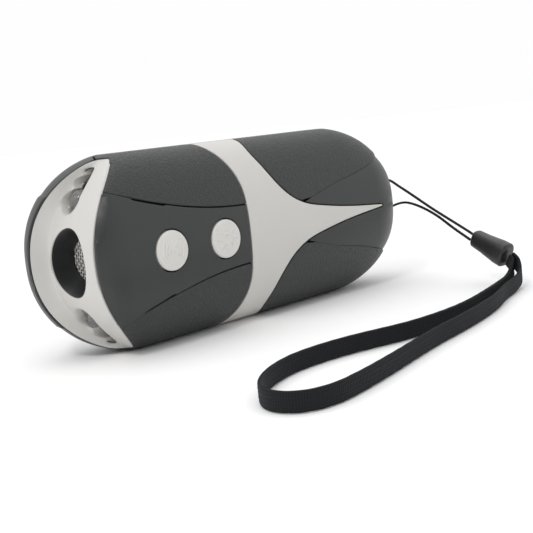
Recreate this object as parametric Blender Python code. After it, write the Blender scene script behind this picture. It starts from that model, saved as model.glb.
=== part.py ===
"""Hand-held electronic sound caller with two front lamps and a wrist strap.

Frame: X runs along the body from the horn end (-X) to the strap end (+X), the buttons
face -Y, and Z is up. The body stands on one of its long narrow edges, as it does when it
is put down with the buttons to the side. The origin is the middle of that footprint.
"""

import math

import bmesh
import bpy
from mathutils import Matrix, Vector

MM = 0.001

# ---- driving dimensions, in metres ----
NOSE_X = -61.35 * MM  # where the body's outline closes at the horn end
TAIL_X = 61.0 * MM
HALF_WIDTH = 24.15 * MM  # half of the body's height as it stands, before its flat edges
HALF_DEPTH = 15.7 * MM  # half of the distance from the button side to the cover side
EDGE_FLAT = 0.3 * MM  # how much the flat long edges take off that half width
CENTRE_Z = HALF_WIDTH - EDGE_FLAT
SECTION_POWER = 2.39  # superellipse power of the body's cross section
WIDTH_END = (23.8 * MM, 27.7 * MM, 1.97)  # nose length, tail length and power in plan
DEPTH_END = (14.0 * MM, 17.5 * MM, 2.07)  # the same in side view

GAP = 0.3 * MM  # between neighbouring pieces
HALF_GAP = GAP / 2
SKIN = 1.0 * MM  # thickness of the outer panels on the button side
WALL = 3.0 * MM  # from the outer surface to the inside of the casing
COVER = 1.5 * MM  # thickness of the battery cover
FRONT_STEP = 0.8 * MM  # how far the front panel stands above its grips at the nose
BACK_STEP = 0.35 * MM  # the same for the strip along the back

BUTTON_XS = {"sound": -35.2 * MM, "light": -17.6 * MM}
BUTTON_RADIUS = 4.8 * MM
BUTTON_PROUD = 0.5 * MM

STAR_FRONT_X = -8.8 * MM
COVER_HALF_WIDTH = 15.5 * MM
COVER_FRONT_X = -9.0 * MM
COVER_LOW_Y = 6.0 * MM

BEZEL_X = -55.4 * MM  # the bezel's face-side edge, at its middle
BEZEL_THICK = 1.8 * MM
BEZEL_TIP = 22.9 * MM  # height of its two blunt tips
BEZEL_SWEEP = 12.3 * MM  # how far it sweeps back over the height below
BEZEL_SWEEP_HEIGHT = 22.4 * MM
BEZEL_BACK = -4.5 * MM  # depth of its back-side edge at the middle, and its rise to the tips
BEZEL_BACK_RISE = 7.2 * MM
BEZEL_TIP_WIDTH = 0.6 * MM  # least width between its two edges
FLARE = 2.0 * MM  # width of the flare along its back-side edge
TILT = 0.07  # its plate leans forward by this share of the distance from its face-side edge
HORN_DEPTH_OFFSET = -3.5 * MM  # y of the horn mouth's centre
HORN_MOUTH = (8.2 * MM, 6.2 * MM)  # half height along Z, half width along Y
THROAT_X = -50.3 * MM
THROAT_RADIUS = 5.1 * MM
THROAT_Y = -3.0 * MM
LAMP_Z = 13.9 * MM  # lamps stand this far above and below the centre line
LAMP_Y = -1.5 * MM
LAMP_RADIUS = 2.5 * MM
SLOT_RADIUS = 2.85 * MM
SLOT_TIP = (-2.6 * MM, 20.9 * MM)  # y, height of the lamp slot's pointed end

BOARD_Y = -4.0 * MM  # middle of the circuit board
BOARD_THICK = 1.2 * MM
BATTERY = (48.5 * MM, 17.5 * MM, 26.5 * MM)
BATTERY_CENTRE = (20.3 * MM, 1.2 * MM)  # x, y
BAY_X = (-4.6 * MM, 45.2 * MM)  # the opening under the cover
BAY_HALF = 13.9 * MM
TERMINAL_Z = 6.35 * MM
TERMINAL_RADIUS = 3.0 * MM
TERMINAL_OUT, TERMINAL_IN = 2.6 * MM, 2.0 * MM  # out of the battery and into it
SNAP_LENGTH, SNAP_INSET, SNAP_HALF = 4.2 * MM, 1.0 * MM, 12.0 * MM
PAD_X = (8.0 * MM, 33.0 * MM)  # foam between the battery and its cover
PAD_HALF = 6.0 * MM
PAD_CLEARANCE = 2.2 * MM  # its top, below the cover's outer surface
BOARD_X = (-40.0 * MM, -9.5 * MM)
BOARD_HALF = 12.2 * MM
TRANSFORMER = ((-36.0 * MM, -26.0 * MM), (-10.5 * MM, -0.5 * MM), 8.0 * MM)  # x, height, tall
DRIVER_CHIP = ((-22.0 * MM, -17.0 * MM), (-8.0 * MM, -2.0 * MM), 1.6 * MM)
CAPACITOR = (-31.0 * MM, 6.0 * MM, 3.15 * MM, 11.0 * MM)  # x, height, radius, length
BUTTON_FOOT = 10.4 * MM  # distance of the button stem's end from the middle plane
STEM_RADIUS, STEM_FOOT = 1.8 * MM, 0.9 * MM
FLANGE_RADIUS, FLANGE_TOP = 6.0 * MM, 1.6 * MM
BUTTON_ROUND = 0.6 * MM  # how much its top edge is rounded in
PLUNGER_RADIUS, PLUNGER_LENGTH = 1.75 * MM, 3.2 * MM
SWITCH_HALF, SWITCH_TALL, SWITCH_FLOOR = 3.0 * MM, 3.7 * MM, 0.5 * MM
RIB_COUNT = 5
RIB_PITCH = 2.6 * MM
RIB_HALF = 6.0 * MM
RIB_PROUD = 0.95 * MM
RIB_THICK, RIB_ROOT, RIB_BEVEL = 1.2 * MM, 1.0 * MM, 0.3 * MM
RIB_START = 4.0 * MM  # first rib, behind the cover's front edge
STRIP_ROOT = (0.6 * MM, 1.6 * MM)  # insets between which the back strip grows into the shell
STRIP_LOW_Y = 3.0 * MM
BAY_LOW_Y = 5.0 * MM
SCREW_PLACES = [(x * MM, side * 18.0 * MM) for x in (-30.0, 38.0) for side in (1, -1)]
SCREW_RADIUS = 1.0 * MM
SCREW_HEAD = 1.75 * MM
SCREW_LENGTH = 13.5 * MM
SCREW_SEAT_Y = 9.4 * MM
BOSS_RADIUS = 2.2 * MM
BOSS_ROOT_Y = -7.6 * MM
BOSS_TOP_Y = 2.8 * MM
BORE_LOW_Y, BORE_HIGH_Y = -6.0 * MM, 9.0 * MM  # the screw's bore in the boss
SHANK_HOLE_Y = 1.0 * MM  # where its hole in the back shell begins
SCREW_HEAD_TALL, SCREW_CROWN = 1.6 * MM, 0.4 * MM
SLOT_HALF_WIDTH, SLOT_HALF_LENGTH, SLOT_FLOOR = 0.3 * MM, 1.4 * MM, 0.9 * MM
HORN_WALL = 0.6 * MM
HORN_RECESS = 0.4 * MM  # the horn's mouth, behind the bezel's front
MESH_DISC = (6.0 * MM, 0.4 * MM)  # radius, thickness
GASKET = (6.4 * MM, 8.0 * MM, 0.9 * MM)  # radii, thickness
CAN = (8.0 * MM, 7.2 * MM, 0.3 * MM)  # radius, length, rounding
CAN_START = 1.6 * MM  # behind the throat
TRAY_WALL = 0.8 * MM
TRAY_FLOOR_X = -42.6 * MM
TRAY_BACK_X = -41.6 * MM
LAMP_FRONT_X = -51.3 * MM
SLIDER_SIZE = (6.8 * MM, 5.6 * MM)
SLIDER_PROFILE = [(0.0, 0.62), (0.06, 0.72), (0.35, 0.8), (0.75, 0.98), (0.94, 1.0), (1.0, 0.9)]

HOLE_Z = 4.5 * MM  # strap holes above and below the centre line
HOLE_Y = 1.6 * MM
HOLE_START_X = 50.0 * MM
STRAP_PIN = (54.9 * MM, 6.5 * MM, 0.9 * MM)  # x, half length, radius
STRING_RADIUS = 0.4 * MM
RIBBON_WIDTH = 4.2 * MM
RIBBON_THICK = 1.0 * MM
WIRE_RADIUS = 0.6 * MM

FAR = 90.0 * MM  # past the body on every side, for cutting shapes
OVER_EDGE = 30.0 * MM  # outlines run past the long edges to this height
OVER_TAIL = 70.0 * MM  # and past the tail to this x
FACE_CUT_Y = 5.0 * MM  # where the button side's cutting shapes end
NOSE_CUT_X = -30.0 * MM  # where the nose's cutting shapes end

# ---- routes of the strap, in millimetres: x, y, z ----
UPPER_STRING = [
    (59.4, 1.6, 28.4), (62.0, 1.4, 28.6), (63.4, 0.3, 29.2), (63.7, -1.8, 29.8),
    (62.6, -5.6, 29.4), (60.7, -10.6, 27.6), (58.9, -17.0, 24.8), (57.5, -24.0, 21.3),
    (56.6, -31.4, 17.6), (56.2, -36.6, 14.9), (56.0, -38.8, 13.7),
]
LOWER_STRING = [
    (59.4, 1.6, 19.4), (62.0, 1.4, 19.4), (63.8, 0.0, 19.9), (64.3, -3.0, 20.6),
    (63.0, -8.0, 22.0), (61.2, -12.6, 22.5), (59.4, -18.6, 21.5), (57.9, -25.4, 19.0),
    (56.3, -32.4, 15.3), (55.3, -37.0, 13.0), (54.9, -38.5, 12.3),
]
SLIDER_ENDS = [(55.4, -39.6, 12.9), (54.2, -50.6, 7.9)]  # where strings enter, ribbon leaves
RIBBON = [
    (54.8, -51.3, 7.3), (54.1, -53.6, 5.6), (51.6, -55.8, 3.4), (46.5, -57.6, 2.4),
    (36.0, -60.5, 2.1), (24.0, -64.8, 2.1), (12.0, -67.8, 2.1), (0.6, -69.9, 2.1),
    (-9.4, -71.4, 2.1), (-19.4, -73.4, 2.1), (-29.3, -75.6, 2.1), (-38.1, -77.4, 2.1),
    (-45.7, -78.7, 2.1), (-52.2, -79.3, 2.1), (-57.2, -78.4, 2.1), (-60.4, -76.0, 2.1),
    (-61.6, -72.2, 2.1), (-60.6, -68.4, 2.1), (-56.8, -64.0, 2.1), (-50.0, -59.9, 2.1),
    (-42.0, -57.4, 2.1), (-35.5, -56.9, 2.1), (-29.4, -57.3, 2.1), (-23.8, -58.2, 2.1),
    (-18.6, -59.5, 2.1), (-9.9, -61.9, 2.1), (-3.0, -62.9, 2.1), (7.5, -63.1, 2.1),
    (17.3, -62.0, 2.1), (30.5, -59.0, 2.1), (39.4, -56.6, 2.1), (46.0, -54.9, 2.4),
    (50.4, -53.6, 3.6), (52.7, -52.7, 5.6), (53.6, -51.2, 7.1),
]

COLOURS = {
    "charcoal": ((0.045, 0.052, 0.052), 0.5, 0.0),
    "light_grey": ((0.53, 0.52, 0.49), 0.4, 0.0),
    "black": ((0.014, 0.014, 0.016), 0.7, 0.0),
    "metal": ((0.55, 0.55, 0.56), 0.35, 1.0),
    "board_green": ((0.02, 0.12, 0.05), 0.5, 0.0),
    "clear": ((0.8, 0.85, 0.9), 0.1, 0.0),
    "red": ((0.45, 0.02, 0.02), 0.45, 0.0),
    "foam": ((0.1, 0.1, 0.1), 0.9, 0.0),
}


# ---- helpers ----
def material(name):
    found = bpy.data.materials.get(name)
    if found:
        return found
    made = bpy.data.materials.new(name)
    made.use_nodes = True
    colour, roughness, metallic = COLOURS[name]
    shader = made.node_tree.nodes["Principled BSDF"]
    shader.inputs["Base Color"].default_value = (*colour, 1.0)
    shader.inputs["Roughness"].default_value = roughness
    shader.inputs["Metallic"].default_value = metallic
    return made


def add_object(name, bm, colour, location=(0.0, 0.0, 0.0)):
    """A named object from a bmesh, with outward faces and a material."""
    bmesh.ops.recalc_face_normals(bm, faces=bm.faces)
    mesh = bpy.data.meshes.new(name)
    bm.to_mesh(mesh)
    bm.free()
    mesh.materials.append(material(colour))
    mesh.shade_smooth()
    mesh.set_sharp_from_angle(angle=math.radians(35))
    made = bpy.data.objects.new(name, mesh)
    made.location = location
    bpy.context.scene.collection.objects.link(made)
    return made


def triangulate(mesh):
    """Splits every face, because a twisted four-sided face doesn't cut cleanly."""
    bm = bmesh.new()
    bm.from_mesh(mesh)
    bmesh.ops.triangulate(bm, faces=bm.faces)
    bm.to_mesh(mesh)
    bm.free()


def combine(target, other, operation):
    """Boolean of two objects kept in the first one; the second is used up."""
    triangulate(target.data)
    triangulate(other.data)
    bpy.context.view_layer.update()
    modifier = target.modifiers.new("cut", "BOOLEAN")
    modifier.operation = operation
    modifier.solver = "EXACT"
    modifier.object = other
    graph = bpy.context.evaluated_depsgraph_get()
    result = bpy.data.meshes.new_from_object(target.evaluated_get(graph))
    target.modifiers.remove(modifier)
    target.data = result
    bpy.data.objects.remove(other)
    return target


def skin_bm(bm, rings):
    """Joins rings of equal length into a closed tube with filled ends."""
    for ring, following in zip(rings, rings[1:]):
        for k in range(len(ring)):
            n = (k + 1) % len(ring)
            bm.faces.new((ring[k], ring[n], following[n], following[k]))
    bm.faces.new(rings[0])
    bm.faces.new(list(reversed(rings[-1])))


def prism(outline, low, high, axis="Y"):
    """An outline of (x, height) pairs extruded along Y, or of (y, height) pairs along X."""
    bm = bmesh.new()
    if axis == "Y":
        ends = [[bm.verts.new((a, at, CENTRE_Z + b)) for a, b in outline] for at in (low, high)]
    else:
        ends = [[bm.verts.new((at, a, CENTRE_Z + b)) for a, b in outline] for at in (low, high)]
    skin_bm(bm, ends)
    return add_object("cutter", bm, "charcoal")


def box(name, low, high, colour, bevel=0.0):
    """A box between two corners, placed by its centre."""
    centre = [(a + b) / 2 for a, b in zip(low, high)]
    size = [b - a for a, b in zip(low, high)]
    bm = bmesh.new()
    bmesh.ops.create_cube(bm, size=1.0, matrix=Matrix.Diagonal((*size, 1.0)))
    if bevel:
        bmesh.ops.bevel(bm, geom=bm.edges, offset=bevel, segments=2, affect="EDGES", profile=0.5)
    return add_object(name, bm, colour, centre)


def lathe(name, profile, axis, location, colour, sides=24):
    """Turns (along, radius) pairs about an axis; a radius of 0 closes the end."""
    turn = {"X": Matrix.Rotation(math.pi / 2, 4, "Y"), "-Y": Matrix.Rotation(math.pi / 2, 4, "X"),
            "Y": Matrix.Rotation(-math.pi / 2, 4, "X"), "Z": Matrix.Identity(4)}[axis]
    bm = bmesh.new()
    rings = []
    for along, radius in profile:
        if radius == 0.0:
            rings.append([bm.verts.new(turn @ Vector((0.0, 0.0, along)))])
            continue
        angles = [2 * math.pi * k / sides for k in range(sides)]
        rings.append([bm.verts.new(turn @ Vector((radius * math.cos(a), radius * math.sin(a), along)))
                      for a in angles])
    closed = profile[0][1] > 0.0 and profile[-1][1] > 0.0
    pairs = list(zip(rings, rings[1:])) + ([(rings[-1], rings[0])] if closed else [])
    for ring, following in pairs:
        for k in range(sides):
            n = (k + 1) % sides
            corners = [ring[k % len(ring)], ring[n % len(ring)],
                       following[n % len(following)], following[k % len(following)]]
            bm.faces.new(list(dict.fromkeys(corners)))
    return add_object(name, bm, colour, location)


def rod(name, start, end, radius, colour, sides=16):
    """A plain round rod between two points that differ along one axis."""
    step = Vector(end) - Vector(start)
    axis = max("XYZ", key=lambda a: abs(step["XYZ".index(a)]))
    length = abs(step["XYZ".index(axis)])
    low = [min(a, b) for a, b in zip(start, end)]
    profile = [(0.0, 0.0), (0.0, radius), (length, radius), (length, 0.0)]
    return lathe(name, profile, axis, low, colour, sides)


def smooth_line(points, steps):
    """Centripetal Catmull-Rom curve through the points, with that many steps between two."""
    nodes = [Vector(p) for p in points]
    nodes = [2 * nodes[0] - nodes[1], *nodes, 2 * nodes[-1] - nodes[-2]]
    line = []
    for p0, p1, p2, p3 in zip(nodes, nodes[1:], nodes[2:], nodes[3:]):
        t1 = (p1 - p0).length ** 0.5
        t2 = t1 + (p2 - p1).length ** 0.5
        t3 = t2 + (p3 - p2).length ** 0.5
        for k in range(steps):
            t = t1 + (t2 - t1) * k / steps
            a1 = p0.lerp(p1, t / t1)
            a2 = p1.lerp(p2, (t - t1) / (t2 - t1))
            a3 = p2.lerp(p3, (t - t2) / (t3 - t2))
            b1 = a1.lerp(a2, t / t2)
            b2 = a2.lerp(a3, (t - t1) / (t3 - t1))
            line.append(b1.lerp(b2, (t - t1) / (t2 - t1)))
    return [*line, nodes[-2]]


def cord(name, points, radius, steps, colour):
    """A round cord along a smooth route given in millimetres."""
    curve = bpy.data.curves.new(name, "CURVE")
    curve.dimensions = "3D"
    curve.bevel_depth = radius
    curve.bevel_resolution = 2
    curve.use_fill_caps = True
    line = [p * MM for p in smooth_line(points, steps)]
    spline = curve.splines.new("POLY")
    spline.points.add(len(line) - 1)
    for point, place in zip(spline.points, line):
        point.co = (*place, 1.0)
    curve.materials.append(material(colour))
    made = bpy.data.objects.new(name, curve)
    bpy.context.scene.collection.objects.link(made)
    return made


# ---- the body's surface ----
def taper(x, end, inset):
    """1 along the straight middle of the body, falling to 0 at its two ends."""
    nose_length, tail_length, power = end
    over = max((NOSE_X + nose_length - x) / (nose_length - inset),
               (x - TAIL_X + tail_length) / (tail_length - inset), 0.0)
    return max(1.0 - min(over, 1.0) ** power, 0.0) ** (1.0 / power)


def half_width(x, inset=0.0):
    return (HALF_WIDTH - inset) * taper(x, WIDTH_END, inset)


def half_depth(x, inset=0.0):
    return (HALF_DEPTH - inset) * taper(x, DEPTH_END, inset)


def depth_at(x, height, inset=0.0):
    """How far the surface is from the middle plane, at a height off the centre line."""
    share = abs(height) / max(half_width(x, inset), 1e-9)
    if share >= 1.0:
        return 0.0
    return half_depth(x, inset) * (1.0 - share ** SECTION_POWER) ** (1.0 / SECTION_POWER)


def nose_at(height, depth):
    """x of the body's front surface at a height and a distance from the middle plane."""
    low, high = NOSE_X, -20.0 * MM
    for _ in range(40):
        middle = (low + high) / 2
        if depth_at(middle, height) > abs(depth):
            high = middle
        else:
            low = middle
    return high


def fade(x):
    """1 at the nose, falling to 0 at the star."""
    return min(max((STAR_FRONT_X - x) / (STAR_FRONT_X - BEZEL_X), 0.0), 1.0)


def front_step(x):
    return FRONT_STEP * fade(x)


def layer(side, outer, inner, raised=None, stations=22, turns=12):
    """Half of the body's skin, from inset `outer` to inset `inner`, as a closed shell."""
    bm = bmesh.new()
    flat_angle = math.asin((CENTRE_Z / HALF_WIDTH) ** (SECTION_POWER / 2))
    turn_angles = [flat_angle * (2 * j / (turns - 2) - 1) for j in range(turns - 1)]
    surfaces = []
    for inset in (outer, inner):
        rows = []
        for i in range(stations + 1):
            along = (1 - math.cos(math.pi * i / stations)) / 2
            x = NOSE_X + inset + (TAIL_X - NOSE_X - 2 * inset) * along
            if i in (0, stations):
                rows.append([bm.verts.new((x, side * HALF_GAP, CENTRE_Z))])
                continue
            row = []
            for angle in [-math.pi / 2, *turn_angles, math.pi / 2]:
                height = math.copysign(abs(math.sin(angle)) ** (2 / SECTION_POWER), angle)
                depth = max(math.cos(angle), 0.0) ** (2 / SECTION_POWER)
                y = depth * (half_depth(x, inset) + (raised(x) if raised else 0.0))
                z = max(-CENTRE_Z + inset, min(CENTRE_Z - inset, height * half_width(x, inset)))
                row.append(bm.verts.new((x, side * max(y, HALF_GAP), CENTRE_Z + z)))
            rows.append(row)
        surfaces.append(rows)
    for rows in surfaces:
        for row, following in zip(rows, rows[1:]):
            for j in range(turns):
                corners = [row[min(j, len(row) - 1)], row[min(j + 1, len(row) - 1)],
                           following[min(j + 1, len(following) - 1)],
                           following[min(j, len(following) - 1)]]
                bm.faces.new(list(dict.fromkeys(corners)))
    rims = [[row[0] for row in rows] + [row[-1] for row in reversed(rows[1:-1])] for rows in surfaces]
    for k in range(len(rims[0])):
        n = (k + 1) % len(rims[0])
        bm.faces.new((rims[0][k], rims[0][n], rims[1][n], rims[1][k]))
    return bm


# ---- outlines on the button side, as (x, height) ----
def seam_height(x):
    """Seam between the smooth front panel and the grained grips."""
    share = max((STAR_FRONT_X - x) / SEAM_LENGTH, 0.0)
    return SEAM_START + SEAM_SPREAD * share ** 1.9


def star_front(height):
    """Front edge of the star band, which sweeps forward towards the long edges."""
    over = max(abs(height) - STAR_STRAIGHT, 0.0) / STAR_SWEEP_HEIGHT
    return STAR_FRONT_X - STAR_SWEEP * over ** 2.2


SEAM_START = 7.5 * MM  # half width of the front panel at the star
SEAM_SPREAD = 8.0 * MM  # how much wider it gets over the length below
SEAM_LENGTH = 41.1 * MM
STAR_STRAIGHT = 8.0 * MM  # the star's front edge runs straight up to this height
STAR_SWEEP = 5.6 * MM  # then sweeps forward by this much over the height below
STAR_SWEEP_HEIGHT = 15.5 * MM
STAR_REAR = [(0.9, 30.0), (-0.2, 24.0), (-1.1, 20.3), (0.7, 16.0), (3.7, 11.4), (7.5, 7.8),
             (12.8, 5.1), (22.0, 3.1), (32.5, 1.6), (45.3, 0.4)]
GROOVE = [(12.4, 5.3), (24.7, 8.5), (30.3, 9.6), (36.1, 10.7), (41.1, 11.9), (48.7, 13.9),
          (70.0, 20.5)]


WING_START = 1.0 * MM  # the rear panel's wings start this far behind the groove's start


def curve_points(points, steps=3):
    return [(p.x * MM, p.y * MM) for p in smooth_line([(x, z, 0.0) for x, z in points], steps)]


def shifted(line, distance):
    """The line moved sideways to its left by a distance."""
    moved = []
    for k, (x, z) in enumerate(line):
        before, after = line[max(k - 1, 0)], line[min(k + 1, len(line) - 1)]
        dx, dz = after[0] - before[0], after[1] - before[1]
        length = math.hypot(dx, dz)
        moved.append((x - dz / length * distance, z + dx / length * distance))
    return moved


def mirrored(line):
    return [(x, -z) for x, z in reversed(line)]


def seam_line(shift):
    xs = [STAR_FRONT_X - 4.0 * MM * k for k in range(16)]
    return [(x, seam_height(x) + shift) for x in xs]


def star_front_line(shift):
    heights = [OVER_EDGE * k / 10 for k in range(11)]
    return [(star_front(h) + shift, h) for h in heights]


def bezel_edges(height):
    """(face-side depth, back-side depth, face-side x) of the bezel at a height."""
    x = BEZEL_X + BEZEL_SWEEP * (abs(height) / BEZEL_SWEEP_HEIGHT) ** 2.25
    face = depth_at(x, height)
    back = BEZEL_BACK + BEZEL_BACK_RISE * (abs(height) / BEZEL_TIP) ** 3
    return face, back, x


def bezel_front(height, depth):
    """x of the bezel's front: a tilted plate with a narrow flare up to the dark rim beside it."""
    face, back, plate = bezel_edges(height)
    edge = back + HALF_GAP
    flat = plate - TILT * max(face - depth, 0.0)
    share = min(max((edge + FLARE - depth) / FLARE, 0.0), 1.0)
    return flat + (nose_at(height, edge) - flat) * share ** 2.2


def bezel_outline(grow):
    """Closed outline of the bezel as (y, height), grown or shrunk by a distance."""
    tip = BEZEL_TIP + grow
    heights = [tip * math.sin(math.pi / 2 * k / 12) for k in range(-12, 13)]
    edges = [(*bezel_edges(h)[:2], h) for h in heights]
    face_side = [(-max(face + grow, back - grow + BEZEL_TIP_WIDTH), h) for face, back, h in edges]
    back_side = [(grow - back, h) for _, back, h in reversed(edges)]
    return face_side + back_side


# ---- nodes ----
def nose_cutter():
    """The space of the bezel and of the pieces in front of it."""
    made = prism(bezel_outline(HALF_GAP), -FAR, NOSE_CUT_X, "X")
    heights = [OVER_EDGE * k / 12 for k in range(-12, 13)]
    back = [(bezel_edges(min(abs(h), CENTRE_Z))[2] + BEZEL_THICK + GAP, h) for h in heights]
    keep = prism([(-FAR, -OVER_EDGE), *back, (-FAR, OVER_EDGE)], -OVER_EDGE, OVER_EDGE)
    return combine(made, keep, "INTERSECT")


def button_hole(x, radius):
    return rod("cutter", (x, -FAR, CENTRE_Z), (x, BOSS_ROOT_Y, CENTRE_Z), radius, "charcoal", 24)


def panel(name, outline, colour, raised=None):
    """One outer panel on the button side: the skin inside an outline."""
    made = add_object(name, layer(-1, 0.0, SKIN, raised), colour)
    combine(made, prism(outline, -FAR, FACE_CUT_Y), "INTERSECT")
    return made


def make_panels():
    front_edge = star_front_line(-HALF_GAP)
    below_seam = [p for p in reversed(seam_line(-HALF_GAP)) if p[0] < front_edge[0][0]]
    half = below_seam + [(front_edge[0][0], seam_height(STAR_FRONT_X) - HALF_GAP)]
    front = panel("front_panel", [(p[0], -p[1]) for p in half] + list(reversed(half)),
                  "charcoal", front_step)
    for x in BUTTON_XS.values():
        combine(front, button_hole(x, BUTTON_RADIUS + GAP), "DIFFERENCE")
    combine(front, nose_cutter(), "DIFFERENCE")

    above_seam = [p for p in reversed(seam_line(HALF_GAP)) if p[0] < front_edge[0][0]]
    side_edge = [p for p in front_edge if p[1] > above_seam[-1][1]]
    corner = (front_edge[0][0], seam_height(STAR_FRONT_X) + HALF_GAP)
    grip = above_seam + [corner] + side_edge + [(above_seam[0][0], OVER_EDGE)]
    star_rear = curve_points(STAR_REAR)
    groove = curve_points(GROOVE)
    rear_edge = [p for p in shifted(star_rear, HALF_GAP) if p[0] < groove[0][0]]
    rear_grip = rear_edge + shifted(groove, HALF_GAP) + [(OVER_TAIL, OVER_EDGE)]
    for word, sign in (("upper", 1), ("lower", -1)):
        made = panel(f"front_grip_{word}", [(x, sign * z) for x, z in grip], "charcoal")
        combine(made, nose_cutter(), "DIFFERENCE")
        panel(f"rear_grip_{word}", [(x, sign * z) for x, z in rear_grip], "charcoal")

    arm = [p for p in shifted(star_rear, HALF_GAP) if p[0] > groove[0][0] + WING_START]
    wing = shifted(groove, -HALF_GAP)[1:]
    tip = [(arm[-1][0] + GAP, 0.0)]
    panel("rear_panel", arm + tip + mirrored(arm) + [(x, -z) for x, z in wing] + wing[::-1], "charcoal")

    band = shifted(star_rear, -HALF_GAP)
    nose_side = star_front_line(HALF_GAP)
    star = band + [(band[-1][0] + HALF_GAP, 0.0)] + mirrored(band)
    star += mirrored(nose_side[1:]) + nose_side
    panel("face_inlay", star, "light_grey")


def body_solid(inset, stations=24, turns=24):
    """The whole body at an inset, as one solid; it bounds what has to fit inside."""
    bm = bmesh.new()
    rings = []
    for i in range(1, stations):
        x = NOSE_X + inset + (TAIL_X - NOSE_X - 2 * inset) * (1 - math.cos(math.pi * i / stations)) / 2
        ring = []
        for j in range(turns):
            c, s = math.cos(2 * math.pi * j / turns), math.sin(2 * math.pi * j / turns)
            y = math.copysign(abs(c) ** (2 / SECTION_POWER), c) * half_depth(x, inset)
            z = math.copysign(abs(s) ** (2 / SECTION_POWER), s) * half_width(x, inset)
            ring.append(bm.verts.new((x, y, CENTRE_Z + z)))
        rings.append(ring)
    skin_bm(bm, rings)
    return add_object("cutter", bm, "charcoal")


def make_face_shell():
    shell = add_object("face_shell", layer(-1, SKIN + GAP, WALL), "charcoal")
    combine(shell, nose_cutter(), "DIFFERENCE")
    for x in BUTTON_XS.values():
        combine(shell, button_hole(x, BUTTON_RADIUS + GAP), "DIFFERENCE")
    for x, height in SCREW_PLACES:
        z = CENTRE_Z + height
        boss = rod("cutter", (x, BOSS_ROOT_Y, z), (x, BOSS_TOP_Y, z), BOSS_RADIUS, "charcoal")
        combine(shell, boss, "UNION")
        bore = rod("cutter", (x, BORE_LOW_Y, z), (x, BORE_HIGH_Y, z), SCREW_RADIUS + GAP, "charcoal")
        combine(shell, bore, "DIFFERENCE")


def cover_outline(grow):
    half = COVER_HALF_WIDTH + grow
    return [(COVER_FRONT_X - grow, -half), (OVER_TAIL, -half), (OVER_TAIL, half),
            (COVER_FRONT_X - grow, half)]


def make_back_shell():
    shell = add_object("back_shell", layer(1, 0.0, WALL), "charcoal")
    top, root = STRIP_ROOT
    raised = add_object("cutter", layer(1, top, root, lambda x: BACK_STEP * fade(x) + top), "charcoal")
    strip_end = COVER_FRONT_X - HALF_GAP
    strip = [(-FAR, -COVER_HALF_WIDTH), (strip_end, -COVER_HALF_WIDTH),
             (strip_end, COVER_HALF_WIDTH), (-FAR, COVER_HALF_WIDTH)]
    combine(raised, prism(strip, STRIP_LOW_Y, FAR), "INTERSECT")
    combine(shell, raised, "UNION")
    space = add_object("cutter", layer(1, -COVER, COVER + GAP), "charcoal")
    combine(space, prism(cover_outline(HALF_GAP), COVER_LOW_Y - HALF_GAP, FAR), "INTERSECT")
    combine(shell, space, "DIFFERENCE")
    combine(shell, nose_cutter(), "DIFFERENCE")
    bay = box("cutter", (BAY_X[0], BAY_LOW_Y, CENTRE_Z - BAY_HALF), (BAY_X[1], FAR, CENTRE_Z + BAY_HALF),
              "charcoal")
    combine(shell, bay, "DIFFERENCE")
    for x, height in SCREW_PLACES:
        z = CENTRE_Z + height
        for low, radius in ((SCREW_SEAT_Y, SCREW_HEAD), (SHANK_HOLE_Y, SCREW_RADIUS)):
            hole = rod("cutter", (x, low, z), (x, FAR, z), radius + GAP, "charcoal")
            combine(shell, hole, "DIFFERENCE")
    for sign in (1, -1):
        z = CENTRE_Z + sign * HOLE_Z
        hole = rod("cutter", (HOLE_START_X, HOLE_Y, z), (FAR, HOLE_Y, z), STRING_RADIUS + GAP,
                   "charcoal", 12)
        combine(shell, hole, "DIFFERENCE")


def make_battery_cover():
    cover = add_object("battery_cover", layer(1, 0.0, COVER), "charcoal")
    combine(cover, prism(cover_outline(-HALF_GAP), COVER_LOW_Y + HALF_GAP, FAR), "INTERSECT")
    for k in range(RIB_COUNT):
        x = COVER_FRONT_X + RIB_START + k * RIB_PITCH
        rib = box("cutter", (x, HALF_DEPTH - RIB_ROOT, CENTRE_Z - RIB_HALF),
                  (x + RIB_THICK, HALF_DEPTH + RIB_PROUD, CENTRE_Z + RIB_HALF), "charcoal", RIB_BEVEL)
        combine(cover, rib, "UNION")


def make_screws():
    seat = SCREW_SEAT_Y + GAP
    top = SCREW_LENGTH + SCREW_HEAD_TALL
    profile = [(0.0, 0.0), (0.0, SCREW_RADIUS), (SCREW_LENGTH, SCREW_RADIUS), (SCREW_LENGTH, SCREW_HEAD),
               (top - SCREW_CROWN, SCREW_HEAD), (top, 0.7 * SCREW_HEAD), (top, 0.0)]
    for k, (x, height) in enumerate(SCREW_PLACES, 1):
        z = CENTRE_Z + height
        screw = lathe(f"case_screw_{k}", profile, "Y", (x, seat - SCREW_LENGTH, z), "metal", 16)
        slot = box("cutter", (x - SLOT_HALF_WIDTH, seat + SLOT_FLOOR, z - SLOT_HALF_LENGTH),
                   (x + SLOT_HALF_WIDTH, FAR, z + SLOT_HALF_LENGTH), "metal")
        combine(screw, slot, "DIFFERENCE")


def ellipse(centre_y, half_y, half_z, sides=28):
    """(y, height) points of an ellipse about a point on the middle height."""
    angles = [2 * math.pi * k / sides for k in range(sides)]
    return [(centre_y + half_y * math.cos(a), half_z * math.sin(a)) for a in angles]


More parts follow.
